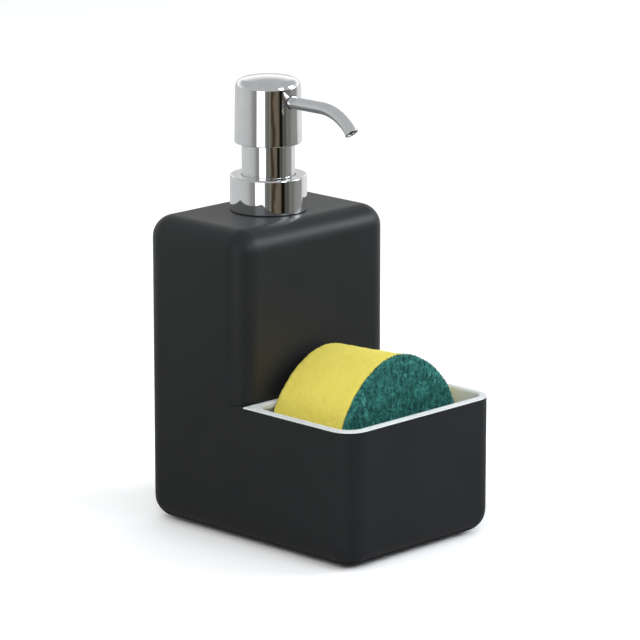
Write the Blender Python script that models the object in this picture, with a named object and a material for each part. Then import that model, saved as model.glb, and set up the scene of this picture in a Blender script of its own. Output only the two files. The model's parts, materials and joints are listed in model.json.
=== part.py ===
# A kitchen soap pump with a sponge tray: a soft-touch housing around a refillable reservoir,
# a chromed lift pump on a screw collar, and a white tub that drops into the front.
# Metres, +Z up. The tray faces -Y, and the origin lies under the middle of the housing.

import math

import bmesh
import bpy

# ---- Driving dimensions: housing ----
HOUSING_WIDTH = 0.0880
HOUSING_DEPTH = 0.1200
TOWER_DEPTH = 0.0587
TOWER_HEIGHT = 0.1307
TRAY_WALL_HEIGHT = 0.0576
UPRIGHT_RADIUS = 0.0100
CROWN_RADIUS = 0.0094
SOLE_RADIUS = 0.0097
HOUSING_WALL = 0.0020
PARTING_HEIGHT = 0.0030
PLATE_FLOOR = 0.0022
PLATE_LIP_WIDTH = 0.0014
PLATE_BEAD = 0.0006
FOOT_PROUD = 0.0008
FOOT_RADIUS = 0.0060
FOOT_HEIGHT = 0.0016
FOOT_INSET_X = 0.0180
FOOT_INSET_Y = 0.0180

# ---- Driving dimensions: reservoir and its threaded neck ----
RESERVOIR_WALL = 0.0012
RESERVOIR_BASE = 0.0060
RESERVOIR_HEADROOM = 0.0072
RESERVOIR_SLACK = 0.0008
RESERVOIR_CORNER = 0.0070
FOOT_HEADROOM = 0.0015
NECK_RADIUS = 0.0125
NECK_WALL = 0.00175
THREAD_PITCH = 0.0040
THREAD_DEPTH = 0.0012
THREAD_TURNS = 1.5
THREAD_PLAY = 0.0004
THREAD_LEAD = 0.0010
CREST_SHARE = 0.10
ROOT_SHARE = 0.275
RUN_IN_TURNS = 0.25

# ---- Driving dimensions: tray and sponge ----
RIM_THICKNESS = 0.0010
RIM_EDGE = 0.0004
TUB_WALL = 0.0012
TUB_BASE = 0.0240
TUB_FLOOR = 0.0014
TUB_FRONT_CORNER = 0.0065
TUB_BACK_CORNER = 0.0080
CURTAIN_LAP = 0.0010
RIB_HEIGHT = 0.0015
RIB_WIDTH = 0.0014
RIB_COUNT = 5
RIB_SPACING = 0.0110
SPONGE_TOP = 0.0810
SPONGE_SHOULDER = 0.0470
SPONGE_ROUNDNESS = 1.75
SPONGE_SIDE_ROOM = 0.0071
SPONGE_FRONT_ROOM = 0.0090
SPONGE_BACK_ROOM = 0.0024
SCOURER_THICKNESS = 0.0040

# ---- Driving dimensions: collar, sleeve and head ----
PUMP_SETBACK = 0.0286
COLLAR_HEIGHT = 0.0151
COLLAR_EDGE = 0.0008
CHROME_WALL = 0.0009
SLEEVE_RADIUS = 0.0112
SLEEVE_WALL = 0.0010
SLEEVE_LAP = 0.0024
NUT_WALL = 0.0009
NUT_BOTTOM = 0.0008
NUT_PLATE = 0.0012
NUT_LEDGE = 0.0010
STROKE = 0.0125
STROKE_SPARE = 0.0012
HEAD_HEIGHT = 0.0282
HEAD_ROOM = 0.0017
HEAD_TAPER = 0.0004
HEAD_CROWN = 0.0012
HEAD_EDGE_RADIUS = 0.0039
HEAD_WALL = 0.0013
SPOUT_DROP = 0.0098
SPOUT_RADIUS = 0.0026
SPOUT_WALL = 0.0007
SPOUT_STRAIGHT = 0.0310
SPOUT_BEND_RADIUS = 0.0223
SPOUT_BEND_ANGLE = math.radians(49)
SPOUT_LIP_PROUD = 0.0003
SPOUT_LIP_LENGTH = 0.0010
SOCKET_LAND = 0.0008
BOSS_WALL = 0.0022
CORE_PLAY = 0.0014
CORE_FLANGE = 0.0014

# ---- Driving dimensions: cylinder, plunger and valves ----
STEM_RADIUS = 0.0030
STEM_BORE_RADIUS = 0.0015
STEM_DROP = 0.0092
STEM_FOOT = 0.0010
PISTON_SPAN = 0.0018
PISTON_TOP = 0.0030
PISTON_HEIGHT = 0.0070
PISTON_LIP = 0.0012
PISTON_BEVEL = 0.0008
PISTON_WAIST = 0.0007
CYLINDER_WALL = 0.0012
CYLINDER_SPARE = 0.0175
NOZZLE_RADIUS = 0.0040
NOZZLE_LENGTH = 0.0100
FLANGE_SETBACK = 0.00025
FLANGE_THICKNESS = 0.0012
GASKET_THICKNESS = 0.0007
RETAINER_PLAY = 0.0010
RETAINER_PROUD = 0.0006
SEAT_THICKNESS = 0.0012
INLET_BALL_RADIUS = 0.0020
INLET_BALL_PLAY = 0.0008
INLET_CONE = 0.0015
INLET_LAND = 0.0008
OUTLET_BALL_RADIUS = 0.0019
OUTLET_BALL_PLAY = 0.0004
OUTLET_CONE = 0.0010
BALL_LIFT = 0.0010
DIP_TUBE_RADIUS = 0.0025
DIP_TUBE_WALL = 0.0008
SPRING_ROOM = 0.0010
SPRING_WIRE_RADIUS = 0.0004
SPRING_TURNS = 6.5

# ---- Clearances and fineness ----
GAP = 0.0003
SLIDE = 0.0003
OVERLAP = 0.0005
SHARP = 0.0003
HAIR = 0.0001
CREASE = math.radians(32)
CORNER_STEPS = 6
FILLET_STEPS = 5
ARCH_STEPS = 28
CROWN_STEPS = 4
CROWN_SLOPE = 80
ROUND = 36
SMALL_ROUND = 20
BALL_ROUND = 12
THREAD_ROW = 0.0005

# ---- Housing places, heights from the housing's underside ----
FRONT = -HOUSING_DEPTH / 2
BACK = HOUSING_DEPTH / 2
HALF_WIDTH = HOUSING_WIDTH / 2
TOWER_FRONT = BACK - TOWER_DEPTH
TOWER_TOP = FOOT_PROUD + TOWER_HEIGHT
INNER_HALF = HALF_WIDTH - HOUSING_WALL
INNER_FRONT = FRONT + HOUSING_WALL
INNER_BACK = BACK - HOUSING_WALL
INNER_CORNER = UPRIGHT_RADIUS - HOUSING_WALL
RIM_WIDTH = HOUSING_WALL + GAP + TUB_WALL
SPONGE_HALF_WIDTH = HALF_WIDTH - RIM_WIDTH - SPONGE_SIDE_ROOM
CURTAIN_BOTTOM = TUB_BASE - CURTAIN_LAP
RESERVOIR_FOOT_TOP = CURTAIN_BOTTOM - FOOT_HEADROOM
RESERVOIR_SHOULDER = TOWER_HEIGHT - RESERVOIR_HEADROOM

# ---- Pump places, heights from the tower's top ----
PUMP_Y = TOWER_FRONT + PUMP_SETBACK
NECK_BORE_RADIUS = NECK_RADIUS - NECK_WALL
NUT_RADIUS = NECK_RADIUS + THREAD_PLAY + THREAD_DEPTH + NUT_WALL
COLLAR_RADIUS = NUT_RADIUS + GAP + CHROME_WALL
FLANGE_RADIUS = NECK_RADIUS - FLANGE_SETBACK
NUT_HOLE_RADIUS = SLEEVE_RADIUS - SLEEVE_WALL - NUT_LEDGE
COLLAR_UNDERSIDE = COLLAR_HEIGHT - CHROME_WALL
SLEEVE_FLANGE_TOP = COLLAR_UNDERSIDE - GAP
SLEEVE_FLANGE_BOTTOM = SLEEVE_FLANGE_TOP - SLEEVE_WALL
NUT_TOP = SLEEVE_FLANGE_BOTTOM - GAP
NUT_PLATE_BOTTOM = NUT_TOP - NUT_PLATE
FLANGE_TOP = NUT_PLATE_BOTTOM - GAP
FLANGE_BOTTOM = FLANGE_TOP - FLANGE_THICKNESS
GASKET_TOP = FLANGE_BOTTOM - GAP
GASKET_BOTTOM = GASKET_TOP - GASKET_THICKNESS
NECK_PROUD = GASKET_BOTTOM - GAP
THREAD_END = NECK_PROUD - THREAD_LEAD
THREAD_START = THREAD_END - THREAD_TURNS * THREAD_PITCH
HEAD_SKIRT_RADIUS = SLEEVE_RADIUS + HEAD_ROOM + HEAD_WALL
HEAD_TOP_RADIUS = HEAD_SKIRT_RADIUS - HEAD_TAPER
HEAD_BOTTOM = COLLAR_HEIGHT + STROKE + STROKE_SPARE
HEAD_TOP = HEAD_BOTTOM + HEAD_HEIGHT
SLEEVE_TOP = HEAD_BOTTOM + SLEEVE_LAP
SPOUT_HEIGHT = HEAD_TOP - SPOUT_DROP
SPOUT_BORE_RADIUS = SPOUT_RADIUS - SPOUT_WALL
SPOUT_LIP_RADIUS = SPOUT_RADIUS + SPOUT_LIP_PROUD
BOSS_RADIUS = STEM_RADIUS + GAP + BOSS_WALL
STEM_TOP = SPOUT_HEIGHT - STEM_DROP
STEM_FOOT_TOP = PISTON_TOP - PISTON_HEIGHT - GAP
STEM_FOOT_BOTTOM = STEM_FOOT_TOP - STEM_FOOT
CYLINDER_BORE_RADIUS = STEM_RADIUS + PISTON_SPAN
CYLINDER_RADIUS = CYLINDER_BORE_RADIUS + CYLINDER_WALL
CYLINDER_DEPTH = CYLINDER_SPARE + STROKE
SEAT_BOTTOM = GAP - CYLINDER_DEPTH
SEAT_TOP = SEAT_BOTTOM + SEAT_THICKNESS
SPRING_RADIUS = CYLINDER_BORE_RADIUS - SPRING_WIRE_RADIUS - SPRING_ROOM
SPRING_BOTTOM = SEAT_TOP + GAP
SPRING_TOP = STEM_FOOT_BOTTOM - GAP


def plastic(name, colour, roughness, metallic=0.0):
    material = bpy.data.materials.new(name)
    material.use_nodes = True
    shader = material.node_tree.nodes["Principled BSDF"]
    shader.inputs["Base Color"].default_value = (*colour, 1.0)
    shader.inputs["Roughness"].default_value = roughness
    shader.inputs["Metallic"].default_value = metallic
    return material


def make_object(name, bm, material):
    bmesh.ops.recalc_face_normals(bm, faces=bm.faces)
    mesh = bpy.data.meshes.new(name)
    bm.to_mesh(mesh)
    bm.free()
    mesh.shade_smooth()
    mesh.set_sharp_from_angle(angle=CREASE)
    piece = bpy.data.objects.new(name, mesh)
    bpy.context.scene.collection.objects.link(piece)
    if material:
        mesh.materials.append(material)
    return piece


def combine(target, tool, operation):
    modifier = target.modifiers.new(operation.title(), "BOOLEAN")
    modifier.operation = operation
    modifier.solver = "EXACT"
    modifier.object = tool
    bpy.context.view_layer.update()
    shaped = target.evaluated_get(bpy.context.evaluated_depsgraph_get())
    mesh = bpy.data.meshes.new_from_object(shaped)
    target.modifiers.clear()
    target.data = mesh
    mesh.set_sharp_from_angle(angle=CREASE)
    bpy.data.objects.remove(tool)
    return target


def outline(x0, x1, y0, y1, z, radii):
    # One closed ring, anticlockwise from above. The four corner radii run front left, front right,
    # back right, back left.
    corners = ((x0, y0, 1, 1), (x1, y0, -1, 1), (x1, y1, -1, -1), (x0, y1, 1, -1))
    ring = []
    for index, (x, y, toward_x, toward_y) in enumerate(corners):
        radius = max(radii[index], SHARP)
        start = math.pi + index * math.pi / 2
        for step in range(CORNER_STEPS + 1):
            angle = start + step / CORNER_STEPS * math.pi / 2
            ring.append((
                x + radius * (toward_x + math.cos(angle)),
                y + radius * (toward_y + math.sin(angle)),
                z,
            ))
    return ring


def stack(name, rings, material=None):
    # A solid skinned over rings of equal length, closed by a flat face at both ends.
    bm = bmesh.new()
    loops = [[bm.verts.new(point) for point in ring] for ring in rings]
    for lower, upper in zip(loops, loops[1:]):
        count = len(lower)
        for i in range(count):
            j = (i + 1) % count
            bm.faces.new((lower[i], lower[j], upper[j], upper[i]))
    bm.faces.new(list(reversed(loops[0])))
    bm.faces.new(loops[-1])
    return make_object(name, bm, material)


def fillet(radius, height=None):
    # (inset, rise) along a quarter round from its flat to its upright side, cut off at a height.
    limit = radius if height is None else height
    last = math.acos(1 - limit / radius)
    angles = [last * step / FILLET_STEPS for step in range(FILLET_STEPS + 1)]
    return [(radius * (1 - math.sin(a)), radius * (1 - math.cos(a))) for a in angles]


def rounded_block(name, x0, x1, y0, y1, z0, z1, radii, bottom=0.0, top=0.0, material=None):
    levels = []
    if bottom:
        levels += [(inset, z0 + rise) for inset, rise in fillet(bottom)]
    else:
        levels.append((0.0, z0))
    if top:
        levels += [(inset, z1 - rise) for inset, rise in reversed(fillet(top))]
    else:
        levels.append((0.0, z1))
    rings = [
        outline(x0 + inset, x1 - inset, y0 + inset, y1 - inset, z, [r - inset for r in radii])
        for inset, z in levels
    ]
    return stack(name, rings, material)


def box(name, x0, x1, y0, y1, z0, z1):
    rings = [[(x0, y0, z), (x1, y0, z), (x1, y1, z), (x0, y1, z)] for z in (z0, z1)]
    return stack(name, rings)


def lathe(name, profile, material=None, segments=ROUND, shape=None):
    # A (radius, height) outline turned about Z. It either closes on itself off the axis or has
    # both ends on the axis. shape(angle, radius, height) may change a point's radius.
    bm = bmesh.new()
    on_axis = profile[0][0] == 0.0
    columns = []
    for radius, height in profile:
        if radius == 0.0:
            columns.append([bm.verts.new((0.0, 0.0, height))])
            continue
        column = []
        for i in range(segments):
            angle = 2 * math.pi * i / segments
            r = shape(angle, radius, height) if shape else radius
            column.append(bm.verts.new((r * math.cos(angle), r * math.sin(angle), height)))
        columns.append(column)
    pairs = list(zip(columns, columns[1:]))
    if not on_axis:
        pairs.append((columns[-1], columns[0]))
    for first, second in pairs:
        for i in range(segments):
            j = (i + 1) % segments
            if len(first) == 1:
                bm.faces.new((first[0], second[j], second[i]))
            elif len(second) == 1:
                bm.faces.new((first[i], first[j], second[0]))
            else:
                bm.faces.new((first[i], first[j], second[j], second[i]))
    return make_object(name, bm, material)


def rod(name, radius, z0, z1, segments=SMALL_ROUND):
    return lathe(name, [(0.0, z0), (radius, z0), (radius, z1), (0.0, z1)], None, segments)


def forward_rod(name, radius, near, far, height):
    # A plain round cutter that points forward (-Y) from the pump's axis.
    tool = rod(name, radius, near, far)
    for vertex in tool.data.vertices:
        x, y, z = vertex.co
        vertex.co = (x, -z, height + y)
    return tool


def arc(center_radius, center_height, radius, start, end, steps):
    # Points of a round edge on a turned outline. Angles are in degrees from the outward direction.
    points = []
    for step in range(steps + 1):
        angle = math.radians(start + (end - start) * step / steps)
        points.append((center_radius + radius * math.cos(angle), center_height + radius * math.sin(angle)))
    return points


def tube(name, path, material, sides=16):
    # A hollow tube in the YZ plane. path holds (y, z, heading, outer radius, bore radius).
    bm = bmesh.new()

    def ring(y, z, heading, radius):
        up = (-math.sin(heading), math.cos(heading))
        points = []
        for i in range(sides):
            angle = 2 * math.pi * i / sides
            across = radius * math.cos(angle)
            lift = radius * math.sin(angle)
            points.append(bm.verts.new((across, y + lift * up[0], z + lift * up[1])))
        return points

    loops = [ring(y, z, heading, outer) for y, z, heading, outer, _ in path]
    loops += [ring(y, z, heading, bore) for y, z, heading, _, bore in reversed(path)]
    for first, second in zip(loops, loops[1:] + loops[:1]):
        for i in range(sides):
            j = (i + 1) % sides
            bm.faces.new((first[i], first[j], second[j], second[i]))
    return make_object(name, bm, material)


def helix_ridge(angle, height, play=0.0):
    # Height of a right-hand trapezoid thread at a place on its cylinder, 0 between the turns.
    phase = (height / THREAD_PITCH - angle / (2 * math.pi)) % 1.0
    distance = min(phase, 1.0 - phase)
    half_crest = CREST_SHARE + play / THREAD_PITCH
    half_root = ROOT_SHARE + play / THREAD_PITCH
    return THREAD_DEPTH * min(max((half_root - distance) / (half_root - half_crest), 0.0), 1.0)


def thread_rows(start, end):
    count = math.ceil((end - start) / THREAD_ROW)
    return [start + (end - start) * i / count for i in range(count + 1)]


def place(parent_name, location, pieces):
    parent = bpy.data.objects.new(parent_name, None)
    parent.location = location
    parent.empty_display_size = 0.01
    bpy.context.scene.collection.objects.link(parent)
    for piece in pieces:
        piece.parent = parent
    return parent


# ---- Housing: heights here run from the housing's underside ----
def build_casing(material):
    corners = [UPRIGHT_RADIUS] * 4
    casing = rounded_block("outer_casing", -HALF_WIDTH, HALF_WIDTH, FRONT, BACK, 0.0,
                           TRAY_WALL_HEIGHT, corners, bottom=SOLE_RADIUS, material=material)
    tower = rounded_block("tower", -HALF_WIDTH, HALF_WIDTH, TOWER_FRONT, BACK,
                          TRAY_WALL_HEIGHT - UPRIGHT_RADIUS, TOWER_HEIGHT, corners,
                          top=CROWN_RADIUS)
    combine(casing, tower, "UNION")
    inner = [INNER_CORNER] * 4
    cellar = rounded_block("cellar", -INNER_HALF, INNER_HALF, INNER_FRONT, INNER_BACK, HOUSING_WALL,
                           CURTAIN_BOTTOM, inner, bottom=SOLE_RADIUS - HOUSING_WALL)
    combine(casing, cellar, "DIFFERENCE")
    shaft = rounded_block("shaft", -INNER_HALF, INNER_HALF, TOWER_FRONT + HOUSING_WALL, INNER_BACK,
                          CURTAIN_BOTTOM - OVERLAP, TOWER_HEIGHT - HOUSING_WALL,
                          inner, top=CROWN_RADIUS - HOUSING_WALL)
    combine(casing, shaft, "DIFFERENCE")
    well = rounded_block("well", -INNER_HALF, INNER_HALF, INNER_FRONT, TOWER_FRONT,
                         CURTAIN_BOTTOM - OVERLAP, TRAY_WALL_HEIGHT + OVERLAP,
                         [INNER_CORNER, INNER_CORNER, SHARP, SHARP])
    combine(casing, well, "DIFFERENCE")
    below = box("below", -HALF_WIDTH - GAP, HALF_WIDTH + GAP, FRONT - GAP, BACK + GAP,
                -GAP, PARTING_HEIGHT + GAP / 2)
    combine(casing, below, "DIFFERENCE")
    neck_hole = rod("neck_hole", NECK_RADIUS + THREAD_DEPTH + 3 * GAP,
                    TOWER_HEIGHT - 2 * HOUSING_WALL, TOWER_HEIGHT + OVERLAP, ROUND)
    neck_hole.location.y = PUMP_Y
    return combine(casing, neck_hole, "DIFFERENCE")


def opening_inset():
    # How far the housing's mouth lies inside its outer wall, at the parting line.
    inner = SOLE_RADIUS - HOUSING_WALL
    rise = SOLE_RADIUS - PARTING_HEIGHT - GAP / 2
    return SOLE_RADIUS - math.sqrt(inner ** 2 - rise ** 2)


def build_base_plate(material):
    lip = opening_inset() + GAP
    bead = opening_inset() - GAP
    lip_top = RESERVOIR_BASE - GAP
    bead_height = (PARTING_HEIGHT + lip_top) / 2 + PLATE_BEAD
    lip_inner = lip + PLATE_LIP_WIDTH
    outer = fillet(SOLE_RADIUS, PARTING_HEIGHT - GAP / 2)
    levels = outer + [
        (lip, outer[-1][1]),
        (lip, bead_height - PLATE_BEAD),
        (bead, bead_height),
        (lip, bead_height + PLATE_BEAD),
        (lip, lip_top),
        (lip_inner, lip_top),
        (lip_inner, PLATE_FLOOR),
    ]
    rings = [
        outline(-HALF_WIDTH + inset, HALF_WIDTH - inset, FRONT + inset, BACK - inset, z,
                [UPRIGHT_RADIUS - inset] * 4)
        for inset, z in levels
    ]
    plate = stack("base_plate", rings, material)
    rib_half = HALF_WIDTH - lip_inner - RESERVOIR_CORNER
    for index in (-1, 0, 1):
        y = index * HOUSING_DEPTH / 4
        rib = box("rib", -rib_half, rib_half, y - RIB_WIDTH / 2, y + RIB_WIDTH / 2,
                  PLATE_FLOOR - OVERLAP, lip_top)
        combine(plate, rib, "UNION")
    for x, y in foot_places():
        pocket = rod("pocket", FOOT_RADIUS + GAP, -OVERLAP, FOOT_HEIGHT - FOOT_PROUD + GAP)
        pocket.location = (x, y, 0.0)
        combine(plate, pocket, "DIFFERENCE")
    return plate


def foot_places():
    x = HALF_WIDTH - FOOT_INSET_X
    y = HOUSING_DEPTH / 2 - FOOT_INSET_Y
    return [(-x, -y), (x, -y), (x, y), (-x, y)]


def build_feet(material):
    feet = []
    for number, (x, y) in enumerate(foot_places(), 1):
        edge = FOOT_PROUD / 2
        profile = [
            (0.0, -FOOT_PROUD), (FOOT_RADIUS - edge, -FOOT_PROUD), (FOOT_RADIUS, edge - FOOT_PROUD),
            (FOOT_RADIUS, FOOT_HEIGHT - FOOT_PROUD), (0.0, FOOT_HEIGHT - FOOT_PROUD),
        ]
        foot = lathe(f"foot_pad_{number}", profile, material, SMALL_ROUND)
        foot.location = (x, y, 0.0)
        feet.append(foot)
    return feet


def reservoir_blocks(inset, material=None):
    # The tower's part and the foot under the tray, shrunk by an inset to give the hollow.
    half = HALF_WIDTH - opening_inset() - RESERVOIR_SLACK - inset
    front = FRONT + opening_inset() + RESERVOIR_SLACK + inset
    back = -FRONT - opening_inset() - RESERVOIR_SLACK - inset
    curtain_side = TOWER_FRONT + HOUSING_WALL + RESERVOIR_SLACK + inset
    corners = [RESERVOIR_CORNER - inset] * 4
    soft = RESERVOIR_CORNER / 2 - inset
    foot = rounded_block("soap_reservoir", -half, half, front, back, RESERVOIR_BASE + inset,
                         RESERVOIR_FOOT_TOP - inset, corners, bottom=soft, top=soft / 2,
                         material=material)
    tower = rounded_block("reservoir_tower", -half, half, curtain_side, back,
                          RESERVOIR_BASE + inset + soft, RESERVOIR_SHOULDER - inset, corners,
                          top=RESERVOIR_CORNER - inset)
    return foot, tower


def build_reservoir(material):
    reservoir, tower = reservoir_blocks(0.0, material)
    combine(reservoir, tower, "UNION")
    neck_top = TOWER_HEIGHT + NECK_PROUD
    start = TOWER_HEIGHT + THREAD_START
    end = TOWER_HEIGHT + THREAD_END

    def threaded(angle, radius, height):
        if not start < height < end:
            return radius
        from_end = min(height - start, end - height) / THREAD_PITCH
        run_in = min(from_end / RUN_IN_TURNS, 1.0)
        return radius + helix_ridge(angle, height - TOWER_HEIGHT) * run_in

    profile = [(0.0, RESERVOIR_SHOULDER - 2 * RESERVOIR_WALL)]
    profile.append((NECK_RADIUS, RESERVOIR_SHOULDER - 2 * RESERVOIR_WALL))
    profile += [(NECK_RADIUS, z) for z in thread_rows(start, end)]
    profile += [(NECK_RADIUS, neck_top), (0.0, neck_top)]
    neck = lathe("neck", profile, None, ROUND, threaded)
    neck.location.y = PUMP_Y
    combine(reservoir, neck, "UNION")
    hollow, upper_hollow = reservoir_blocks(RESERVOIR_WALL)
    combine(hollow, upper_hollow, "UNION")
    bore = rod("bore", NECK_BORE_RADIUS, RESERVOIR_SHOULDER - 5 * RESERVOIR_WALL,
               neck_top + OVERLAP, ROUND)
    bore.location.y = PUMP_Y
    combine(hollow, bore, "UNION")
    return combine(reservoir, hollow, "DIFFERENCE")


# ---- Tray and sponge: heights here run from the housing's underside too ----
def build_tray(material):
    back = TOWER_FRONT - GAP
    seat = TRAY_WALL_HEIGHT + GAP
    wall = HOUSING_WALL + GAP
    edge = RIM_EDGE
    under = RIM_WIDTH + TUB_WALL
    # Each level: inset of the front and sides, inset of the back, height, front and back corner radius.
    outer_front = TUB_FRONT_CORNER + TUB_WALL
    outer_back = TUB_BACK_CORNER + TUB_WALL
    back_face = GAP + TUB_WALL
    back_wall = RIM_WIDTH - back_face
    levels = [
        (wall + TUB_WALL, GAP + TUB_WALL, TUB_BASE, outer_front - TUB_WALL, outer_back),
        (wall, GAP, TUB_BASE + TUB_WALL, outer_front, outer_back),
        (wall, GAP, seat, outer_front, outer_back),
        (0.0, 0.0, seat, UPRIGHT_RADIUS, SHARP),
        (0.0, 0.0, seat + RIM_THICKNESS - edge, UPRIGHT_RADIUS, SHARP),
        (edge, edge, seat + RIM_THICKNESS, UPRIGHT_RADIUS - edge, SHARP),
        (RIM_WIDTH - edge, RIM_WIDTH - edge, seat + RIM_THICKNESS, TUB_FRONT_CORNER + edge,
         TUB_BACK_CORNER + edge),
        (RIM_WIDTH, RIM_WIDTH, seat + RIM_THICKNESS - edge, TUB_FRONT_CORNER, TUB_BACK_CORNER),
        (RIM_WIDTH, RIM_WIDTH, seat - RIM_THICKNESS, TUB_FRONT_CORNER, TUB_BACK_CORNER),
        (RIM_WIDTH, back_face, seat - RIM_THICKNESS - back_wall, TUB_FRONT_CORNER, TUB_BACK_CORNER),
        (RIM_WIDTH, back_face, TUB_BASE + TUB_FLOOR + TUB_WALL, TUB_FRONT_CORNER, TUB_BACK_CORNER),
        (under, back_face + TUB_WALL, TUB_BASE + TUB_FLOOR, TUB_FRONT_CORNER - TUB_WALL,
         TUB_BACK_CORNER - TUB_WALL),
    ]
    rings = [
        outline(-HALF_WIDTH + inset, HALF_WIDTH - inset, FRONT + inset, back - back_inset, z,
                [front_radius, front_radius, back_radius, back_radius])
        for inset, back_inset, z, front_radius, back_radius in levels
    ]
    tray = stack("sponge_tray", rings, material)
    for index in range(RIB_COUNT):
        x = (index - (RIB_COUNT - 1) / 2) * RIB_SPACING
        rib = box("rib", x - RIB_WIDTH / 2, x + RIB_WIDTH / 2, FRONT + 2 * under, back - 2 * under,
                  TUB_BASE + TUB_FLOOR - OVERLAP, TUB_BASE + TUB_FLOOR + RIB_HEIGHT)
        combine(tray, rib, "UNION")
    return tray


def sponge_slab(name, front, back, material):
    # An arched slab: a rounded top over two upright sides.
    bottom = TUB_BASE + TUB_FLOOR + RIB_HEIGHT + GAP
    rise = SPONGE_TOP - SPONGE_SHOULDER
    arch = [(-SPONGE_HALF_WIDTH, bottom)]
    for step in range(ARCH_STEPS + 1):
        angle = math.pi * (1 - step / ARCH_STEPS)
        reach = abs(math.cos(angle)) ** (2 / SPONGE_ROUNDNESS)
        x = math.copysign(reach, math.cos(angle)) * SPONGE_HALF_WIDTH
        arch.append((x, SPONGE_SHOULDER + rise * math.sin(angle) ** (2 / SPONGE_ROUNDNESS)))
    arch.append((SPONGE_HALF_WIDTH, bottom))
    return stack(name, [[(x, y, z) for x, z in arch] for y in (front, back)], material)


def build_sponge(foam_material, scourer_material):
    front = FRONT + RIM_WIDTH + SPONGE_FRONT_ROOM
    back = TOWER_FRONT - GAP - TUB_WALL - SPONGE_BACK_ROOM
    scourer_back = front + SCOURER_THICKNESS - GAP
    scourer = sponge_slab("scourer_pad", front, scourer_back, scourer_material)
    foam = sponge_slab("sponge_foam", scourer_back + GAP, back, foam_material)
    return [foam, scourer]


# ---- Pump: heights here run from the tower's top, on the pump's axis ----
def build_collar(material):
    bottom = GAP
    inner = COLLAR_RADIUS - CHROME_WALL
    hole = SLEEVE_RADIUS + GAP
    soft = COLLAR_EDGE
    profile = [(inner, bottom), (COLLAR_RADIUS, bottom)]
    profile += arc(COLLAR_RADIUS - soft, COLLAR_HEIGHT - soft, soft, 0, 90, 4)
    profile += [(hole, COLLAR_HEIGHT), (hole, COLLAR_UNDERSIDE), (inner, COLLAR_UNDERSIDE)]
    return lathe("closure_collar", profile, material)


def build_guide_sleeve(material):
    bore = SLEEVE_RADIUS - SLEEVE_WALL
    flange = COLLAR_RADIUS - CHROME_WALL - 2 * GAP
    profile = [
        (bore, SLEEVE_FLANGE_BOTTOM), (flange, SLEEVE_FLANGE_BOTTOM), (flange, SLEEVE_FLANGE_TOP),
        (SLEEVE_RADIUS, SLEEVE_FLANGE_TOP), (SLEEVE_RADIUS, SLEEVE_TOP - GAP),
        (SLEEVE_RADIUS - GAP, SLEEVE_TOP), (bore, SLEEVE_TOP),
    ]
    return lathe("guide_sleeve", profile, material)


def build_collar_nut(material):
    crest = NECK_RADIUS + THREAD_PLAY
    thread_top = FLANGE_BOTTOM - GAP

    def threaded(angle, radius, height):
        if radius != crest or height > thread_top:
            return radius
        return radius + helix_ridge(angle, height, THREAD_PLAY)

    profile = [(crest, z) for z in reversed(thread_rows(NUT_BOTTOM, thread_top))]
    profile += [
        (NUT_RADIUS, NUT_BOTTOM), (NUT_RADIUS, NUT_TOP), (NUT_HOLE_RADIUS, NUT_TOP),
        (NUT_HOLE_RADIUS, NUT_PLATE_BOTTOM), (crest, NUT_PLATE_BOTTOM),
    ]
    return lathe("collar_nut", profile, material, ROUND, threaded)


def build_gasket(material):
    bore = NECK_BORE_RADIUS
    outer = NECK_RADIUS - GAP
    profile = [(bore, GASKET_BOTTOM), (outer, GASKET_BOTTOM), (outer, GASKET_TOP), (bore, GASKET_TOP)]
    return lathe("neck_gasket", profile, material, SMALL_ROUND)


def ball_rest(ball, chamber, bore, cone):
    # Height of a ball's centre above the wide end of its cone seat, with a hair of play.
    reach = ball + GAP / 2
    on_cone = (reach * math.hypot(chamber - bore, cone) - cone * chamber) / (chamber - bore)
    on_edge = math.sqrt(reach ** 2 - bore ** 2) - cone
    return max(on_cone, on_edge)


def build_cylinder(material):
    step = -CYLINDER_DEPTH
    chamber = INLET_BALL_RADIUS + INLET_BALL_PLAY
    cone = INLET_CONE
    rest = ball_rest(INLET_BALL_RADIUS, chamber, STEM_BORE_RADIUS, cone)
    ball_height = SEAT_BOTTOM - GAP - BALL_LIFT - INLET_BALL_RADIUS
    chamber_bottom = ball_height - rest
    nozzle_bore = DIP_TUBE_RADIUS + GAP
    socket_top = chamber_bottom - cone - INLET_LAND
    nozzle_bottom = socket_top - NOZZLE_LENGTH
    profile = [
        (CYLINDER_BORE_RADIUS, FLANGE_TOP), (CYLINDER_BORE_RADIUS, step), (chamber, step),
        (chamber, chamber_bottom), (STEM_BORE_RADIUS, chamber_bottom - cone),
        (STEM_BORE_RADIUS, socket_top), (nozzle_bore, socket_top), (nozzle_bore, nozzle_bottom),
        (NOZZLE_RADIUS, nozzle_bottom), (NOZZLE_RADIUS, chamber_bottom),
        (CYLINDER_RADIUS, step - CYLINDER_WALL), (CYLINDER_RADIUS, FLANGE_BOTTOM),
        (FLANGE_RADIUS, FLANGE_BOTTOM), (FLANGE_RADIUS, FLANGE_TOP),
    ]
    cylinder = lathe("pump_cylinder", profile, material, SMALL_ROUND)
    return cylinder, ball_height, socket_top


def build_seat(material):
    outer = CYLINDER_BORE_RADIUS - GAP
    profile = [
        (STEM_BORE_RADIUS, SEAT_BOTTOM), (outer, SEAT_BOTTOM), (outer, SEAT_TOP),
        (STEM_BORE_RADIUS, SEAT_TOP),
    ]
    return lathe("spring_seat", profile, material, SMALL_ROUND)


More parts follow.
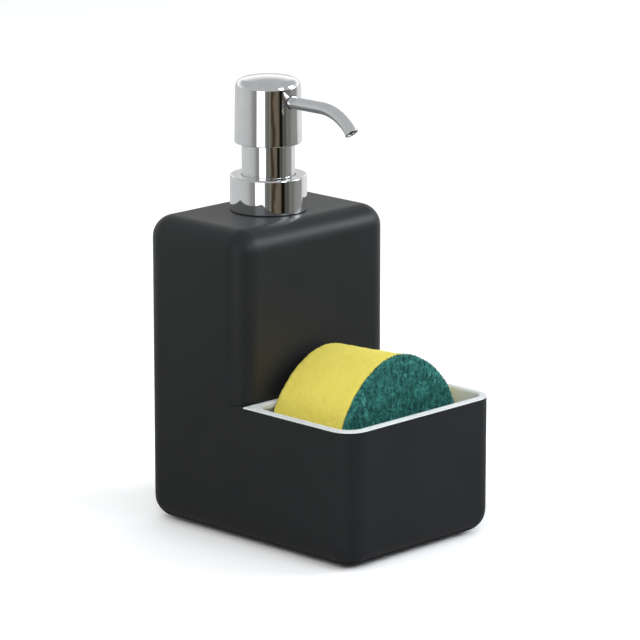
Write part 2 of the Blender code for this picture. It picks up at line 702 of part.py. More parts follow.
def build_retainer(material):
    bore = STEM_RADIUS + SLIDE
    plug = CYLINDER_BORE_RADIUS - GAP
    plug_bottom = PISTON_TOP + RETAINER_PLAY
    disc = NUT_HOLE_RADIUS - 2 * GAP
    disc_bottom = FLANGE_TOP + GAP
    disc_top = NUT_TOP + RETAINER_PROUD
    profile = [
        (bore, plug_bottom), (plug, plug_bottom), (plug, disc_bottom), (disc, disc_bottom),
        (disc, disc_top), (bore, disc_top),
    ]
    return lathe("cylinder_retainer", profile, material, SMALL_ROUND)


def build_stem(material):
    chamber = OUTLET_BALL_RADIUS + OUTLET_BALL_PLAY
    cone = OUTLET_CONE
    ball_height = STEM_TOP - BALL_LIFT - OUTLET_BALL_RADIUS
    seat_top = ball_height - ball_rest(OUTLET_BALL_RADIUS, chamber, STEM_BORE_RADIUS, cone)
    foot = CYLINDER_BORE_RADIUS - 2 * GAP
    profile = [
        (STEM_BORE_RADIUS, STEM_FOOT_BOTTOM), (foot, STEM_FOOT_BOTTOM), (foot, STEM_FOOT_TOP),
        (STEM_RADIUS, STEM_FOOT_TOP), (STEM_RADIUS, STEM_TOP), (chamber, STEM_TOP),
        (chamber, seat_top), (STEM_BORE_RADIUS, seat_top - cone),
    ]
    return lathe("pump_stem", profile, material, SMALL_ROUND), ball_height


def build_piston(material):
    bore = STEM_RADIUS + GAP
    lip = CYLINDER_BORE_RADIUS - SLIDE
    waist = lip - PISTON_WAIST
    bottom = PISTON_TOP - PISTON_HEIGHT
    inner_lip = PISTON_LIP + PISTON_BEVEL
    profile = [
        (bore, bottom), (lip, bottom), (lip, bottom + PISTON_LIP), (waist, bottom + inner_lip),
        (waist, PISTON_TOP - inner_lip), (lip, PISTON_TOP - PISTON_LIP), (lip, PISTON_TOP),
        (bore, PISTON_TOP),
    ]
    return lathe("piston", profile, material, SMALL_ROUND)


def build_ball(name, radius, height, material):
    points = arc(0.0, height, radius, -90, 90, BALL_ROUND // 2)
    points[0] = (0.0, height - radius)
    points[-1] = (0.0, height + radius)
    return lathe(name, points, material, BALL_ROUND)


def build_spring(material):
    # A round wire wound about the axis, with its ends lying nearly flat.
    bm = bmesh.new()
    sides = 5
    per_turn = 14
    end_turns = 1.0
    low = SPRING_BOTTOM + SPRING_WIRE_RADIUS
    high = SPRING_TOP - SPRING_WIRE_RADIUS
    closed_rise = 2 * SPRING_WIRE_RADIUS + GAP
    count = int(SPRING_TURNS * per_turn)

    def height(turn):
        if turn < end_turns:
            return low + closed_rise * turn / end_turns
        if turn > SPRING_TURNS - end_turns:
            return high - closed_rise * (SPRING_TURNS - turn) / end_turns
        part = (turn - end_turns) / (SPRING_TURNS - 2 * end_turns)
        return low + closed_rise + part * (high - low - 2 * closed_rise)

    loops = []
    for step in range(count + 1):
        turn = SPRING_TURNS * step / count
        angle = 2 * math.pi * turn
        loop = []
        for side in range(sides):
            around = 2 * math.pi * side / sides
            r = SPRING_RADIUS + SPRING_WIRE_RADIUS * math.cos(around)
            z = height(turn) + SPRING_WIRE_RADIUS * math.sin(around)
            loop.append(bm.verts.new((r * math.cos(angle), r * math.sin(angle), z)))
        loops.append(loop)
    for first, second in zip(loops, loops[1:]):
        for i in range(sides):
            j = (i + 1) % sides
            bm.faces.new((first[i], first[j], second[j], second[i]))
    bm.faces.new(loops[0])
    bm.faces.new(list(reversed(loops[-1])))
    return make_object("return_spring", bm, material)


def build_dip_tube(socket_top, material):
    bottom = FOOT_PROUD + RESERVOIR_BASE + 3 * RESERVOIR_WALL - TOWER_TOP
    top = socket_top - GAP
    bore = DIP_TUBE_RADIUS - DIP_TUBE_WALL
    profile = [(bore, bottom), (DIP_TUBE_RADIUS, bottom), (DIP_TUBE_RADIUS, top), (bore, top)]
    return lathe("dip_tube", profile, material, SMALL_ROUND)


def build_head_cap(material):
    flat_top = HEAD_TOP - HEAD_CROWN
    edge_center = HEAD_TOP_RADIUS - HEAD_EDGE_RADIUS
    inner_edge = HEAD_EDGE_RADIUS - HEAD_WALL
    edge = arc(edge_center, flat_top - HEAD_EDGE_RADIUS, HEAD_EDGE_RADIUS, CROWN_SLOPE, 0, 7)
    rim_radius, rim_height = edge[0]
    profile = [(0.0, HEAD_TOP)]
    for step in range(1, CROWN_STEPS):
        share = step / CROWN_STEPS
        profile.append((rim_radius * share, HEAD_TOP - (HEAD_TOP - rim_height) * share ** 2))
    profile += edge
    profile += [
        (HEAD_SKIRT_RADIUS, HEAD_BOTTOM + GAP), (HEAD_SKIRT_RADIUS - GAP, HEAD_BOTTOM),
        (HEAD_SKIRT_RADIUS - HEAD_WALL, HEAD_BOTTOM),
    ]
    profile += arc(edge_center, flat_top - HEAD_EDGE_RADIUS, inner_edge, 0, 90, 4)
    profile.append((0.0, flat_top - HEAD_WALL))
    cap = lathe("actuator_cap", profile, material)
    spout_hole = forward_rod("spout_hole", SPOUT_RADIUS + GAP, BOSS_RADIUS + GAP,
                             HEAD_SKIRT_RADIUS + OVERLAP, SPOUT_HEIGHT)
    return combine(cap, spout_hole, "DIFFERENCE")


def build_actuator_core(material):
    bottom = NUT_TOP + STROKE + CORE_PLAY
    socket = STEM_RADIUS + GAP
    ceiling = STEM_TOP + GAP
    channel = STEM_BORE_RADIUS
    top = HEAD_TOP - HEAD_CROWN - HEAD_WALL - GAP
    flange_bottom = SPOUT_HEIGHT + SPOUT_RADIUS + 2 * GAP
    flange = HEAD_TOP_RADIUS - HEAD_EDGE_RADIUS
    channel_top = SPOUT_HEIGHT + channel
    profile = [
        (0.0, channel_top), (channel, channel_top), (channel, ceiling), (socket, ceiling),
        (socket, bottom), (BOSS_RADIUS, bottom), (BOSS_RADIUS, flange_bottom),
        (flange, flange_bottom), (flange, flange_bottom + CORE_FLANGE),
        (BOSS_RADIUS, flange_bottom + CORE_FLANGE),
        (BOSS_RADIUS, top), (0.0, top),
    ]
    core = lathe("actuator_core", profile, material, SMALL_ROUND)
    passage = forward_rod("passage", channel - HAIR, 0.0, BOSS_RADIUS - OVERLAP, SPOUT_HEIGHT)
    combine(core, passage, "DIFFERENCE")
    socket_cut = forward_rod("spout_socket", SPOUT_RADIUS + GAP, channel + SOCKET_LAND,
                             BOSS_RADIUS + OVERLAP, SPOUT_HEIGHT)
    return combine(core, socket_cut, "DIFFERENCE")


def build_spout(material):
    inner_end = STEM_BORE_RADIUS + SOCKET_LAND + GAP
    straight = [inner_end + (SPOUT_STRAIGHT - inner_end) * i / 3 for i in range(4)]
    path = [(-reach, SPOUT_HEIGHT, 0.0, SPOUT_RADIUS, SPOUT_BORE_RADIUS) for reach in straight]
    steps = 9
    for step in range(1, steps + 1):
        bend = SPOUT_BEND_ANGLE * step / steps
        y = -SPOUT_STRAIGHT - SPOUT_BEND_RADIUS * math.sin(bend)
        z = SPOUT_HEIGHT - SPOUT_BEND_RADIUS * (1 - math.cos(bend))
        path.append((y, z, bend, SPOUT_RADIUS, SPOUT_BORE_RADIUS))
    y, z, heading = path[-1][:3]
    for run, outer in ((0.4, SPOUT_RADIUS), (0.7, SPOUT_LIP_RADIUS), (1.0, SPOUT_LIP_RADIUS)):
        reach = SPOUT_LIP_LENGTH * run
        path.append((y - reach * math.cos(heading), z - reach * math.sin(heading), heading, outer,
                     SPOUT_BORE_RADIUS))
    return tube("spout_tube", path, material)


def clear_scene():
    for old in list(bpy.data.objects):
        bpy.data.objects.remove(old)


def main():
    clear_scene()
    black = plastic("soft_touch_black", (0.021, 0.022, 0.023), 0.55)
    base_black = plastic("base_black", (0.018, 0.018, 0.018), 0.60)
    rubber = plastic("foot_rubber", (0.03, 0.03, 0.03), 0.85)
    white = plastic("tray_white", (0.72, 0.74, 0.74), 0.35)
    natural = plastic("reservoir_natural", (0.62, 0.63, 0.60), 0.45)
    chrome = plastic("chrome", (0.80, 0.80, 0.82), 0.06, 1.0)
    pump_white = plastic("pump_white", (0.75, 0.75, 0.73), 0.40)
    seal = plastic("seal_grey", (0.45, 0.46, 0.47), 0.70)
    steel = plastic("spring_steel", (0.60, 0.60, 0.60), 0.25, 1.0)
    clear_tube = plastic("tube_clear", (0.70, 0.72, 0.72), 0.30)
    yellow = plastic("foam_yellow", (0.78, 0.68, 0.12), 0.95)
    green = plastic("scourer_green", (0.02, 0.14, 0.10), 0.95)

    feet = build_feet(rubber)
    housing = [build_casing(black), build_base_plate(base_black), build_reservoir(natural)] + feet
    place("housing_frame", (0.0, 0.0, FOOT_PROUD), housing)
    place("tray_slide", (0.0, 0.0, FOOT_PROUD), [build_tray(white)])
    place("sponge_slide", (0.0, 0.0, FOOT_PROUD), build_sponge(yellow, green))

    axis = (0.0, PUMP_Y, TOWER_TOP)
    cylinder, inlet_height, socket_top = build_cylinder(pump_white)
    stem, outlet_height = build_stem(pump_white)
    inlet_ball = build_ball("inlet_ball", INLET_BALL_RADIUS, inlet_height, steel)
    outlet_ball = build_ball("outlet_ball", OUTLET_BALL_RADIUS, outlet_height, steel)
    cartridge = [cylinder, build_retainer(pump_white), build_seat(pump_white), build_gasket(seal),
                 build_dip_tube(socket_top, clear_tube), build_spring(steel)]
    place("cartridge_axis", axis, cartridge)
    place("inlet_ball_axis", axis, [inlet_ball])
    place("collar_axis", axis, [build_collar(chrome), build_collar_nut(pump_white),
                                build_guide_sleeve(chrome)])
    place("plunger_axis", axis, [stem, build_piston(seal)])
    place("outlet_ball_axis", axis, [outlet_ball])
    place("head_axis", axis, [build_head_cap(chrome), build_actuator_core(pump_white),
                              build_spout(chrome)])


main()
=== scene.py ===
# Kitchen soap pump with a sponge tray: the looks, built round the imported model.
import json
import math
import random

import bmesh
import bpy
import numpy as np
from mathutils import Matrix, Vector, noise


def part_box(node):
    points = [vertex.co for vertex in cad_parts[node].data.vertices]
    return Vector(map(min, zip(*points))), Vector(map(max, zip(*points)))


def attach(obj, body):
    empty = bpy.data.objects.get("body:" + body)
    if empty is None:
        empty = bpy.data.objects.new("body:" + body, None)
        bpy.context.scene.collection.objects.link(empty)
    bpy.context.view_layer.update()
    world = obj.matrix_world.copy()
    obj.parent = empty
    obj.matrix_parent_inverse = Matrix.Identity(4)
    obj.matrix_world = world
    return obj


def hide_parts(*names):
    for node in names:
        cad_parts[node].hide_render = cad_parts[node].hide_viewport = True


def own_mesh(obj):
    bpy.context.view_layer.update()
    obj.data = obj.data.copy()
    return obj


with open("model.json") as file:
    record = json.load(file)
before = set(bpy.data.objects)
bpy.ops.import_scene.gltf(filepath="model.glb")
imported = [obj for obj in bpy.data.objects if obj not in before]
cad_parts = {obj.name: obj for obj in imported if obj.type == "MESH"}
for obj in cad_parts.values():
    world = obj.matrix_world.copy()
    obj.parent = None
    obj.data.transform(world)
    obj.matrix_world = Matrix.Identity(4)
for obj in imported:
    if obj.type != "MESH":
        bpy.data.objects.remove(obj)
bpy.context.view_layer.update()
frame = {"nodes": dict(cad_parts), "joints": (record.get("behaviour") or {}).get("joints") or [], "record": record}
nodes = frame["nodes"]
mm = 0.001
print("frame loaded")


# The camera looks from the tray's left corner, a little from above.
cameraSetup = {
    "azimuth": -45.51,
    "elevation": 13.99,
    "distance": 1707.4 * mm,
    "aim": (0.0, -0.34 * mm, 87.1 * mm),
    "lens": 230.65,
    "riseOfFrame": 0.00616,
    "sensorWidth": 36.0,
    "nearest": 0.05,
    "farthest": 60.0,
}


def addObject(name, data):
    added = bpy.data.objects.new(name, data)
    bpy.context.scene.collection.objects.link(added)
    return added


def makeCamera(setup):
    turn = math.radians(setup["azimuth"])
    tilt = math.radians(setup["elevation"])
    back = Vector((math.sin(turn) * math.cos(tilt), -math.cos(turn) * math.cos(tilt), math.sin(tilt)))
    data = bpy.data.cameras.new("camera")
    data.lens = setup["lens"]
    data.sensor_width = setup["sensorWidth"]
    data.shift_y = setup["riseOfFrame"]
    data.clip_start = setup["nearest"]
    data.clip_end = setup["farthest"]
    camera = addObject("camera", data)
    camera.location = Vector(setup["aim"]) + back * setup["distance"]
    camera.rotation_mode = "QUATERNION"
    camera.rotation_quaternion = (-back).to_track_quat("-Z", "Y")
    bpy.context.scene.camera = camera


makeCamera(cameraSetup)


def feed(tree, target, value):
    if isinstance(value, Flow):
        tree.links.new(value.socket, target)
    elif value is not None:
        target.default_value = value


class Flow:
    # One socket of a node tree. Arithmetic on it adds Math nodes; node() adds any other.
    def __init__(self, tree, socket=None):
        self.tree = tree
        self.socket = socket

    def node(self, kind, settings=None, inputs=None, output=0):
        made = self.tree.nodes.new(kind)
        for key, value in (settings or {}).items():
            if key == "stops":
                self.setStops(made.color_ramp, value)
            else:
                setattr(made, key, value)
        for key, value in (inputs or {}).items():
            feed(self.tree, made.inputs[key], value)
        return Flow(self.tree, made.outputs[output])

    def setStops(self, ramp, stops):
        while len(ramp.elements) < len(stops):
            ramp.elements.new(1.0)
        for element, (place, colour) in zip(ramp.elements, stops):
            element.position = place
            element.color = (*colour, 1.0)

    def maths(self, operation, first, second=None):
        inputs = {0: first}
        if second is not None:
            inputs[1] = second
        return self.node("ShaderNodeMath", {"operation": operation}, inputs)

    def __add__(self, other):
        return self.maths("ADD", self, other)

    def __sub__(self, other):
        return self.maths("SUBTRACT", self, other)

    def __rsub__(self, other):
        return self.maths("SUBTRACT", other, self)

    def __mul__(self, other):
        return self.maths("MULTIPLY", self, other)

    __radd__ = __add__
    __rmul__ = __mul__

    def spread(self, low, high):
        # 0 below low, 1 above high, smooth between.
        ends = {"From Min": low, "From Max": high, "Value": self}
        return self.node("ShaderNodeMapRange", {"interpolation_type": "SMOOTHSTEP"}, ends)

    def noise(self, size, detail=3.0, rough=0.5, stretch=(1.0, 1.0, 1.0)):
        place = self
        if stretch != (1.0, 1.0, 1.0):
            place = self.node("ShaderNodeVectorMath", {"operation": "MULTIPLY"}, {0: self, 1: stretch})
        inputs = {"Vector": place, "Scale": 1 / size, "Detail": detail, "Roughness": rough}
        return self.node("ShaderNodeTexNoise", None, inputs)

    def cells(self, size, feature="F1"):
        inputs = {"Vector": self, "Scale": 1 / size}
        return self.node("ShaderNodeTexVoronoi", {"feature": feature}, inputs)

    def between(self, first, second):
        # self is the share of the second colour.
        return self.node("ShaderNodeMix", {"data_type": "RGBA"}, {0: self, 6: first, 7: second}, 2)


def colour(red, green, blue):
    # sRGB bytes to the linear colour that a shader takes.
    def linear(value):
        share = value / 255
        return share / 12.92 if share <= 0.04045 else ((share + 0.055) / 1.055) ** 2.4
    return (linear(red), linear(green), linear(blue), 1.0)


def newFinish(name):
    material = bpy.data.materials.new(name)
    material.use_nodes = True
    tree = material.node_tree
    shader = tree.nodes["Principled BSDF"]
    place = Flow(tree).node("ShaderNodeTexCoord", None, None, "Object")
    return material, shader, place


def dress(shader, place, base=None, rough=None, height=None, depth=0.02 * mm, strength=1.0, fixed=None):
    tree = place.tree
    feed(tree, shader.inputs["Base Color"], base)
    feed(tree, shader.inputs["Roughness"], rough)
    if height is not None:
        bump = place.node("ShaderNodeBump", None,
                          {"Strength": strength, "Distance": depth, "Height": height})
        tree.links.new(bump.socket, shader.inputs["Normal"])
    for key, value in (fixed or {}).items():
        shader.inputs[key].default_value = value


def makeSoftTouch(name, tint, lift, rough):
    # Matte rubbery paint: a very fine tooth, faint clouding and a little polish where hands rub.
    material, shader, place = newFinish(name)
    cloud = place.noise(26 * mm, 4.0)
    tooth = place.noise(0.45 * mm, 2.0)
    grain = place.noise(0.16 * mm, 1.0)
    speck = place.cells(3.1 * mm).spread(0.10, 0.02)
    share = (cloud * 0.5 + tooth * 0.35 + grain * 0.15).spread(0.25, 0.8)
    base = share.between(tint, lift)
    base = (speck * 0.25).between(base, colour(60, 60, 59))
    roughness = (cloud - 0.5) * 0.10 + (tooth - 0.5) * 0.08 + rough
    dress(shader, place, base, roughness, tooth * 0.6 + grain * 0.4, 0.03 * mm, 0.55,
          {"Specular IOR Level": 0.28, "Sheen Weight": 0.04, "Sheen Roughness": 0.4})
    return material


def makeChrome(name, rough):
    # Bright plating over moulded plastic: nearly a mirror, with faint waves, haze and wiping marks.
    material, shader, place = newFinish(name)
    haze = place.noise(9 * mm, 5.0, 0.6)
    wipe = place.noise(1.2 * mm, 3.0, 0.5, (1.0, 1.0, 0.12))
    wave = place.noise(14 * mm, 1.0)
    base = haze.spread(0.35, 0.75).between((0.80, 0.81, 0.82, 1.0), (0.87, 0.87, 0.87, 1.0))
    roughness = haze.spread(0.45, 0.8) * 0.035 + wipe.spread(0.5, 0.8) * 0.02 + rough
    dress(shader, place, base, roughness, wave, 0.02 * mm, 0.35, {"Metallic": 1.0})
    return material


def makeTrayWhite(name):
    # Satin moulded white with a faint orange peel and light water marks.
    material, shader, place = newFinish(name)
    cloud = place.noise(18 * mm, 3.0)
    peel = place.noise(0.9 * mm, 2.0)
    marks = place.noise(5 * mm, 5.0, 0.7).spread(0.56, 0.64)
    base = cloud.between(colour(189, 193, 193), colour(196, 200, 200))
    base = (marks * 0.14).between(base, colour(184, 185, 177))
    roughness = marks * 0.10 + (peel - 0.5) * 0.08 + 0.42
    dress(shader, place, base, roughness, peel, 0.02 * mm, 0.4,
          {"Specular IOR Level": 0.35, "Subsurface Weight": 0.04,
           "Subsurface Radius": (0.002, 0.002, 0.002), "Subsurface Scale": 1.0})
    return material


def makeFoam(name):
    # Open-cell foam: pores of mixed size, with painted shade deepening the colour inside each one.
    material, shader, place = newFinish(name)
    coarse = place.cells(0.95 * mm)
    fine = place.cells(0.42 * mm)
    cloud = place.noise(7 * mm, 4.0, 0.6)
    poreShade = coarse.spread(0.30, 0.05) * 0.55 + fine.spread(0.35, 0.08) * 0.45
    base = cloud.spread(0.3, 0.75).between(colour(208, 194, 88), colour(212, 198, 97))
    # Painted shade: the colour darkens inside the pores.
    base = (poreShade * 0.40).between(base, colour(184, 162, 50))
    height = coarse.spread(0.0, 0.45) * 0.6 + fine.spread(0.0, 0.5) * 0.4
    dress(shader, place, base, 0.92, height, 0.15 * mm, 0.5,
          {"Specular IOR Level": 0.15, "Subsurface Weight": 0.35,
           "Subsurface Radius": (0.0030, 0.0026, 0.0008), "Subsurface Scale": 1.0})
    return material


def makeScourer(name, deep, mid, bright):
    # Resin-bonded fibre felt: streaky greens, with painted shade darkening the hollows between the strands.
    material, shader, place = newFinish(name)
    strand = place.noise(1.5 * mm, 4.0, 0.6, (1.0, 1.0, 0.35))
    cross = place.noise(1.1 * mm, 3.0, 0.6, (0.7, 1.0, 0.8))
    hollowShade = place.noise(3.4 * mm, 4.0, 0.6, (1.0, 1.0, 0.6))
    grit = place.cells(0.4 * mm)
    base = strand.spread(0.36, 0.62).between(deep, mid)
    base = (cross.spread(0.48, 0.70) * 0.8).between(base, bright)
    # Painted shade: patches standing for the hollows between strands are darkened towards the deep green.
    base = (hollowShade.spread(0.47, 0.34) * 0.75).between(base, deep)
    height = strand * 0.6 + cross * 0.4 + grit.spread(0.4, 0.1) * 0.25
    dress(shader, place, base, 0.85, height, 0.24 * mm, 0.7, {"Specular IOR Level": 0.25})
    return material


def makeMoulded(name, tint, lift, rough, grainSize, depth, fixed=None):
    # Plain moulded plastic or rubber: a grain from the tool, slight clouding and uneven gloss.
    material, shader, place = newFinish(name)
    cloud = place.noise(11 * mm, 4.0)
    grain = place.noise(grainSize, 2.0)
    base = (cloud * 0.7 + grain * 0.3).spread(0.3, 0.75).between(tint, lift)
    roughness = (cloud - 0.5) * 0.12 + (grain - 0.5) * 0.08 + rough
    dress(shader, place, base, roughness, grain, depth, 0.5, fixed)
    return material


def makeWire(name, tint, lift, rough):
    # Drawn or ground steel with fine lines and a slightly uneven shine.
    material, shader, place = newFinish(name)
    lines = place.noise(0.25 * mm, 3.0, 0.6, (1.0, 1.0, 0.2))
    cloud = place.noise(4 * mm, 3.0)
    base = cloud.between(tint, lift)
    roughness = lines.spread(0.4, 0.8) * 0.12 + cloud * 0.06 + rough
    dress(shader, place, base, roughness, lines, 0.01 * mm, 0.3, {"Metallic": 1.0})
    return material


finishes = {
    "soft_touch_black": makeSoftTouch("softTouchBlack", colour(24, 25, 26), colour(29, 30, 31), 0.44),
    "base_black": makeMoulded("basePlateBlack", colour(18, 18, 18), colour(25, 25, 25), 0.60,
                              0.5 * mm, 0.05 * mm),
    "foot_rubber": makeMoulded("footRubber", colour(20, 20, 21), colour(30, 30, 30), 0.82,
                               0.3 * mm, 0.04 * mm, {"Specular IOR Level": 0.3}),
    "tray_white": makeTrayWhite("trayWhite"),
    "reservoir_natural": makeMoulded("reservoirNatural", colour(205, 206, 198), colour(222, 223, 216),
                                     0.42, 0.8 * mm, 0.03 * mm, {"Subsurface Weight": 0.2,
                                     "Subsurface Radius": (0.003, 0.003, 0.003), "Subsurface Scale": 1.0}),
    "chrome": makeChrome("brightPlating", 0.03),
    "pump_white": makeMoulded("pumpPolypropylene", colour(222, 222, 218), colour(234, 234, 231), 0.38,
                              0.6 * mm, 0.02 * mm),
    "seal_grey": makeMoulded("sealGrey", colour(176, 178, 180), colour(192, 194, 196), 0.60,
                             0.4 * mm, 0.02 * mm),
    "tube_clear": makeMoulded("dipTubeNatural", colour(214, 218, 218), colour(228, 231, 230), 0.28,
                              0.7 * mm, 0.01 * mm),
    "spring_steel": makeWire("springWire", (0.56, 0.56, 0.57, 1.0), (0.66, 0.66, 0.66, 1.0), 0.18),
    "valve_steel": makeWire("valveBallSteel", (0.60, 0.60, 0.61, 1.0), (0.70, 0.70, 0.70, 1.0), 0.10),
    "foam_yellow": makeFoam("foamYellow"),
    "scourer_green": makeScourer("scourerFelt", colour(18, 66, 62), colour(47, 113, 106),
                                 colour(72, 142, 134)),
}
fibreFinish = makeScourer("scourerFibre", colour(26, 79, 74), colour(50, 115, 108), colour(70, 140, 131))
spoutFinish = makeChrome("satinPlating", 0.20)
for row in frame["record"]["subparts"]:
    carried = nodes[row["node"]]
    carried.data.materials.clear()
    carried.data.materials.append(finishes[row["material_slot"]])
print("finishes ready")


def meshFrom(name, bm):
    mesh = bpy.data.meshes.new(name)
    bm.to_mesh(mesh)
    bm.free()
    return mesh


def finishMesh(name, bm, slot, edgeAngle=35.0):
    bmesh.ops.recalc_face_normals(bm, faces=bm.faces)
    mesh = meshFrom(name, bm)
    mesh.shade_smooth()
    mesh.set_sharp_from_angle(angle=math.radians(edgeAngle))
    if slot:
        mesh.materials.append(finishes[slot])
    return addObject(name, mesh)


def bakeModifiers(piece):
    bpy.context.view_layer.update()
    shaped = piece.evaluated_get(bpy.context.evaluated_depsgraph_get())
    mesh = bpy.data.meshes.new_from_object(shaped)
    piece.modifiers.clear()
    piece.data = mesh
    return piece


def evenShading(piece):
    # Lets large flats keep their own normal beside rounded edges.
    weighted = piece.modifiers.new("evenShading", "WEIGHTED_NORMAL")
    weighted.keep_sharp = True
    weighted.weight = 100
    return bakeModifiers(piece)


def combine(piece, tool, operation, edgeAngle=35.0):
    cut = piece.modifiers.new("cut", "BOOLEAN")
    cut.operation = operation
    cut.solver = "EXACT"
    cut.object = tool
    bakeModifiers(piece)
    bpy.data.objects.remove(tool)
    piece.data.set_sharp_from_angle(angle=math.radians(edgeAngle))


def ringOutline(x0, x1, y0, y1, z, radii, steps=14):
    corners = ((x0, y0, 1, 1), (x1, y0, -1, 1), (x1, y1, -1, -1), (x0, y1, 1, -1))
    ring = []
    for index, (x, y, inX, inY) in enumerate(corners):
        radius = max(radii[index], 0.25 * mm)
        for step in range(steps + 1):
            angle = math.pi + (index + step / steps) * math.pi / 2
            ring.append((x + radius * (inX + math.cos(angle)), y + radius * (inY + math.sin(angle)), z))
    return ring


def skin(bm, rings, capStart=True, capEnd=True, joined=False):
    # Faces between rings of equal length; joined also links the last ring to the first.
    loops = [[bm.verts.new(point) for point in ring] for ring in rings]
    pairs = list(zip(loops, loops[1:]))
    if joined:
        pairs.append((loops[-1], loops[0]))
    for lower, upper in pairs:
        count = len(lower)
        for i in range(count):
            j = (i + 1) % count
            bm.faces.new((lower[i], lower[j], upper[j], upper[i]))
    if capStart and not joined:
        bm.faces.new(list(reversed(loops[0])))
    if capEnd and not joined:
        bm.faces.new(loops[-1])


def quarterRound(radius, limit=None, steps=10):
    last = math.acos(1 - (limit or radius) / radius)
    angles = [last * step / steps for step in range(steps + 1)]
    return [(radius * (1 - math.sin(a)), radius * (1 - math.cos(a))) for a in angles]


def roundedBlock(name, x0, x1, y0, y1, z0, z1, radius, bottom=0.0, top=0.0, slot=None):
    levels = [(inset, z0 + rise) for inset, rise in quarterRound(bottom)] if bottom else [(0.0, z0)]
    if top:
        levels += [(inset, z1 - rise) for inset, rise in reversed(quarterRound(top))]
    else:
        levels.append((0.0, z1))
    radii = radius if isinstance(radius, (list, tuple)) else [radius] * 4
    bm = bmesh.new()
    skin(bm, [ringOutline(x0 + a, x1 - a, y0 + a, y1 - a, z, [r - a for r in radii]) for a, z in levels])
    return finishMesh(name, bm, slot)


def turned(name, profile, slot, centre, sides=128, edgeAngle=30.0):
    # A (radius, height) outline turned round the pump's axis. Ends at radius 0 close on the axis.
    bm = bmesh.new()
    columns = []
    for radius, height in profile:
        if radius == 0.0:
            columns.append([bm.verts.new((centre.x, centre.y, centre.z + height))])
            continue
        column = []
        for i in range(sides):
            angle = 2 * math.pi * i / sides
            column.append(bm.verts.new((centre.x + radius * math.cos(angle),
                                        centre.y + radius * math.sin(angle), centre.z + height)))
        columns.append(column)
    pairs = list(zip(columns, columns[1:]))
    if profile[0][0] > 0.0:
        pairs.append((columns[-1], columns[0]))
    for first, second in pairs:
        for i in range(sides):
            j = (i + 1) % sides
            if len(first) == 1:
                bm.faces.new((first[0], second[j], second[i]))
            elif len(second) == 1:
                bm.faces.new((first[i], first[j], second[0]))
            else:
                bm.faces.new((first[i], first[j], second[j], second[i]))
    return finishMesh(name, bm, slot, edgeAngle)


def roundEdge(radius, height, size, start, end, steps=6):
    points = []
    for step in range(steps + 1):
        angle = math.radians(start + (end - start) * step / steps)
        points.append((radius + size * math.cos(angle), height + size * math.sin(angle)))
    return points


def middle(low, high, height):
    return Vector(((low.x + high.x) / 2, (low.y + high.y) / 2, height))


def settle(piece, body, slot, *replaced):
    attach(piece, body)
    if replaced:
        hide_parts(*replaced)


casingLow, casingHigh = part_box("outer_casing")
plateLow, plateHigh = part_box("base_plate")
trayLow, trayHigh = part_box("sponge_tray")
housing = {
    "wall": 2.0 * mm,
    "uprightRadius": 10.0 * mm,
    "crownRadius": 9.4 * mm,
    "soleRadius": 9.7 * mm,
    "gap": 0.3 * mm,
    "rimThickness": 1.0 * mm,
    "curtainBottom": 23.0 * mm,
    "neckHoleRadius": 14.6 * mm,
    "neckHoleDepth": 4.0 * mm,
    "towerOverlap": 20.0 * mm,
    "cutOverlap": 0.5 * mm,
}
sole = plateLow.z
towerFront = trayHigh.y + housing["gap"]
trayWallTop = trayHigh.z - housing["rimThickness"] - housing["gap"]
capLow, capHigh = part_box("actuator_cap")
pumpAxis = middle(capLow, capHigh, casingHigh.z)


def makeHousing(spec):
    x, front, back, top = casingHigh.x, casingLow.y, casingHigh.y, casingHigh.z
    wall, upright, over = spec["wall"], spec["uprightRadius"], spec["cutOverlap"]
    shell = roundedBlock("housingShell", -x, x, front, back, sole, trayWallTop, upright,
                         bottom=spec["soleRadius"], slot="soft_touch_black")
    tower = roundedBlock("tower", -x, x, towerFront, back, trayWallTop - spec["towerOverlap"], top, upright,
                         top=spec["crownRadius"])
    combine(shell, tower, "UNION")
    inner = upright - wall
    curtain = sole + spec["curtainBottom"]
    cellar = roundedBlock("cellar", wall - x, x - wall, front + wall, back - wall, sole + wall, curtain,
                          inner, bottom=spec["soleRadius"] - wall)
    combine(shell, cellar, "DIFFERENCE")
    shaft = roundedBlock("shaft", wall - x, x - wall, towerFront + wall, back - wall,
                         curtain - over, top - wall, inner, top=spec["crownRadius"] - wall)
    combine(shell, shaft, "DIFFERENCE")
    well = roundedBlock("well", wall - x, x - wall, front + wall, towerFront, curtain - over,
                        trayWallTop + over, [inner, inner, 0.0, 0.0])
    combine(shell, well, "DIFFERENCE")
    below = roundedBlock("below", -x - mm, x + mm, front - mm, back + mm, sole - mm, casingLow.z, mm)
    combine(shell, below, "DIFFERENCE")
    holeRadius, holeDepth = spec["neckHoleRadius"], spec["neckHoleDepth"]
    hole = turned("neckHole", [(0.0, -holeDepth), (holeRadius, -holeDepth), (holeRadius, mm), (0.0, mm)],
                  None, pumpAxis)
    combine(shell, hole, "DIFFERENCE")
    settle(evenShading(shell), "housing", "soft_touch_black", "outer_casing")


makeHousing(housing)
print("housing built")


basePlate = {
    "edgeRadius": 9.7 * mm,
    "floor": 2.2 * mm,
    "lipWidth": 1.4 * mm,
    "bead": 0.6 * mm,
    "footPlay": 0.3 * mm,
}
footShape = {
    "count": 4,
    "edge": 0.4 * mm,
    "grooveShare": 0.62,  # of the foot's radius
    "grooveHalf": 0.4 * mm,
    "grooveFloorHalf": 0.2 * mm,
    "grooveDepth": 0.12 * mm,
    "topChamfer": 0.1 * mm,
    "sides": 72,
}


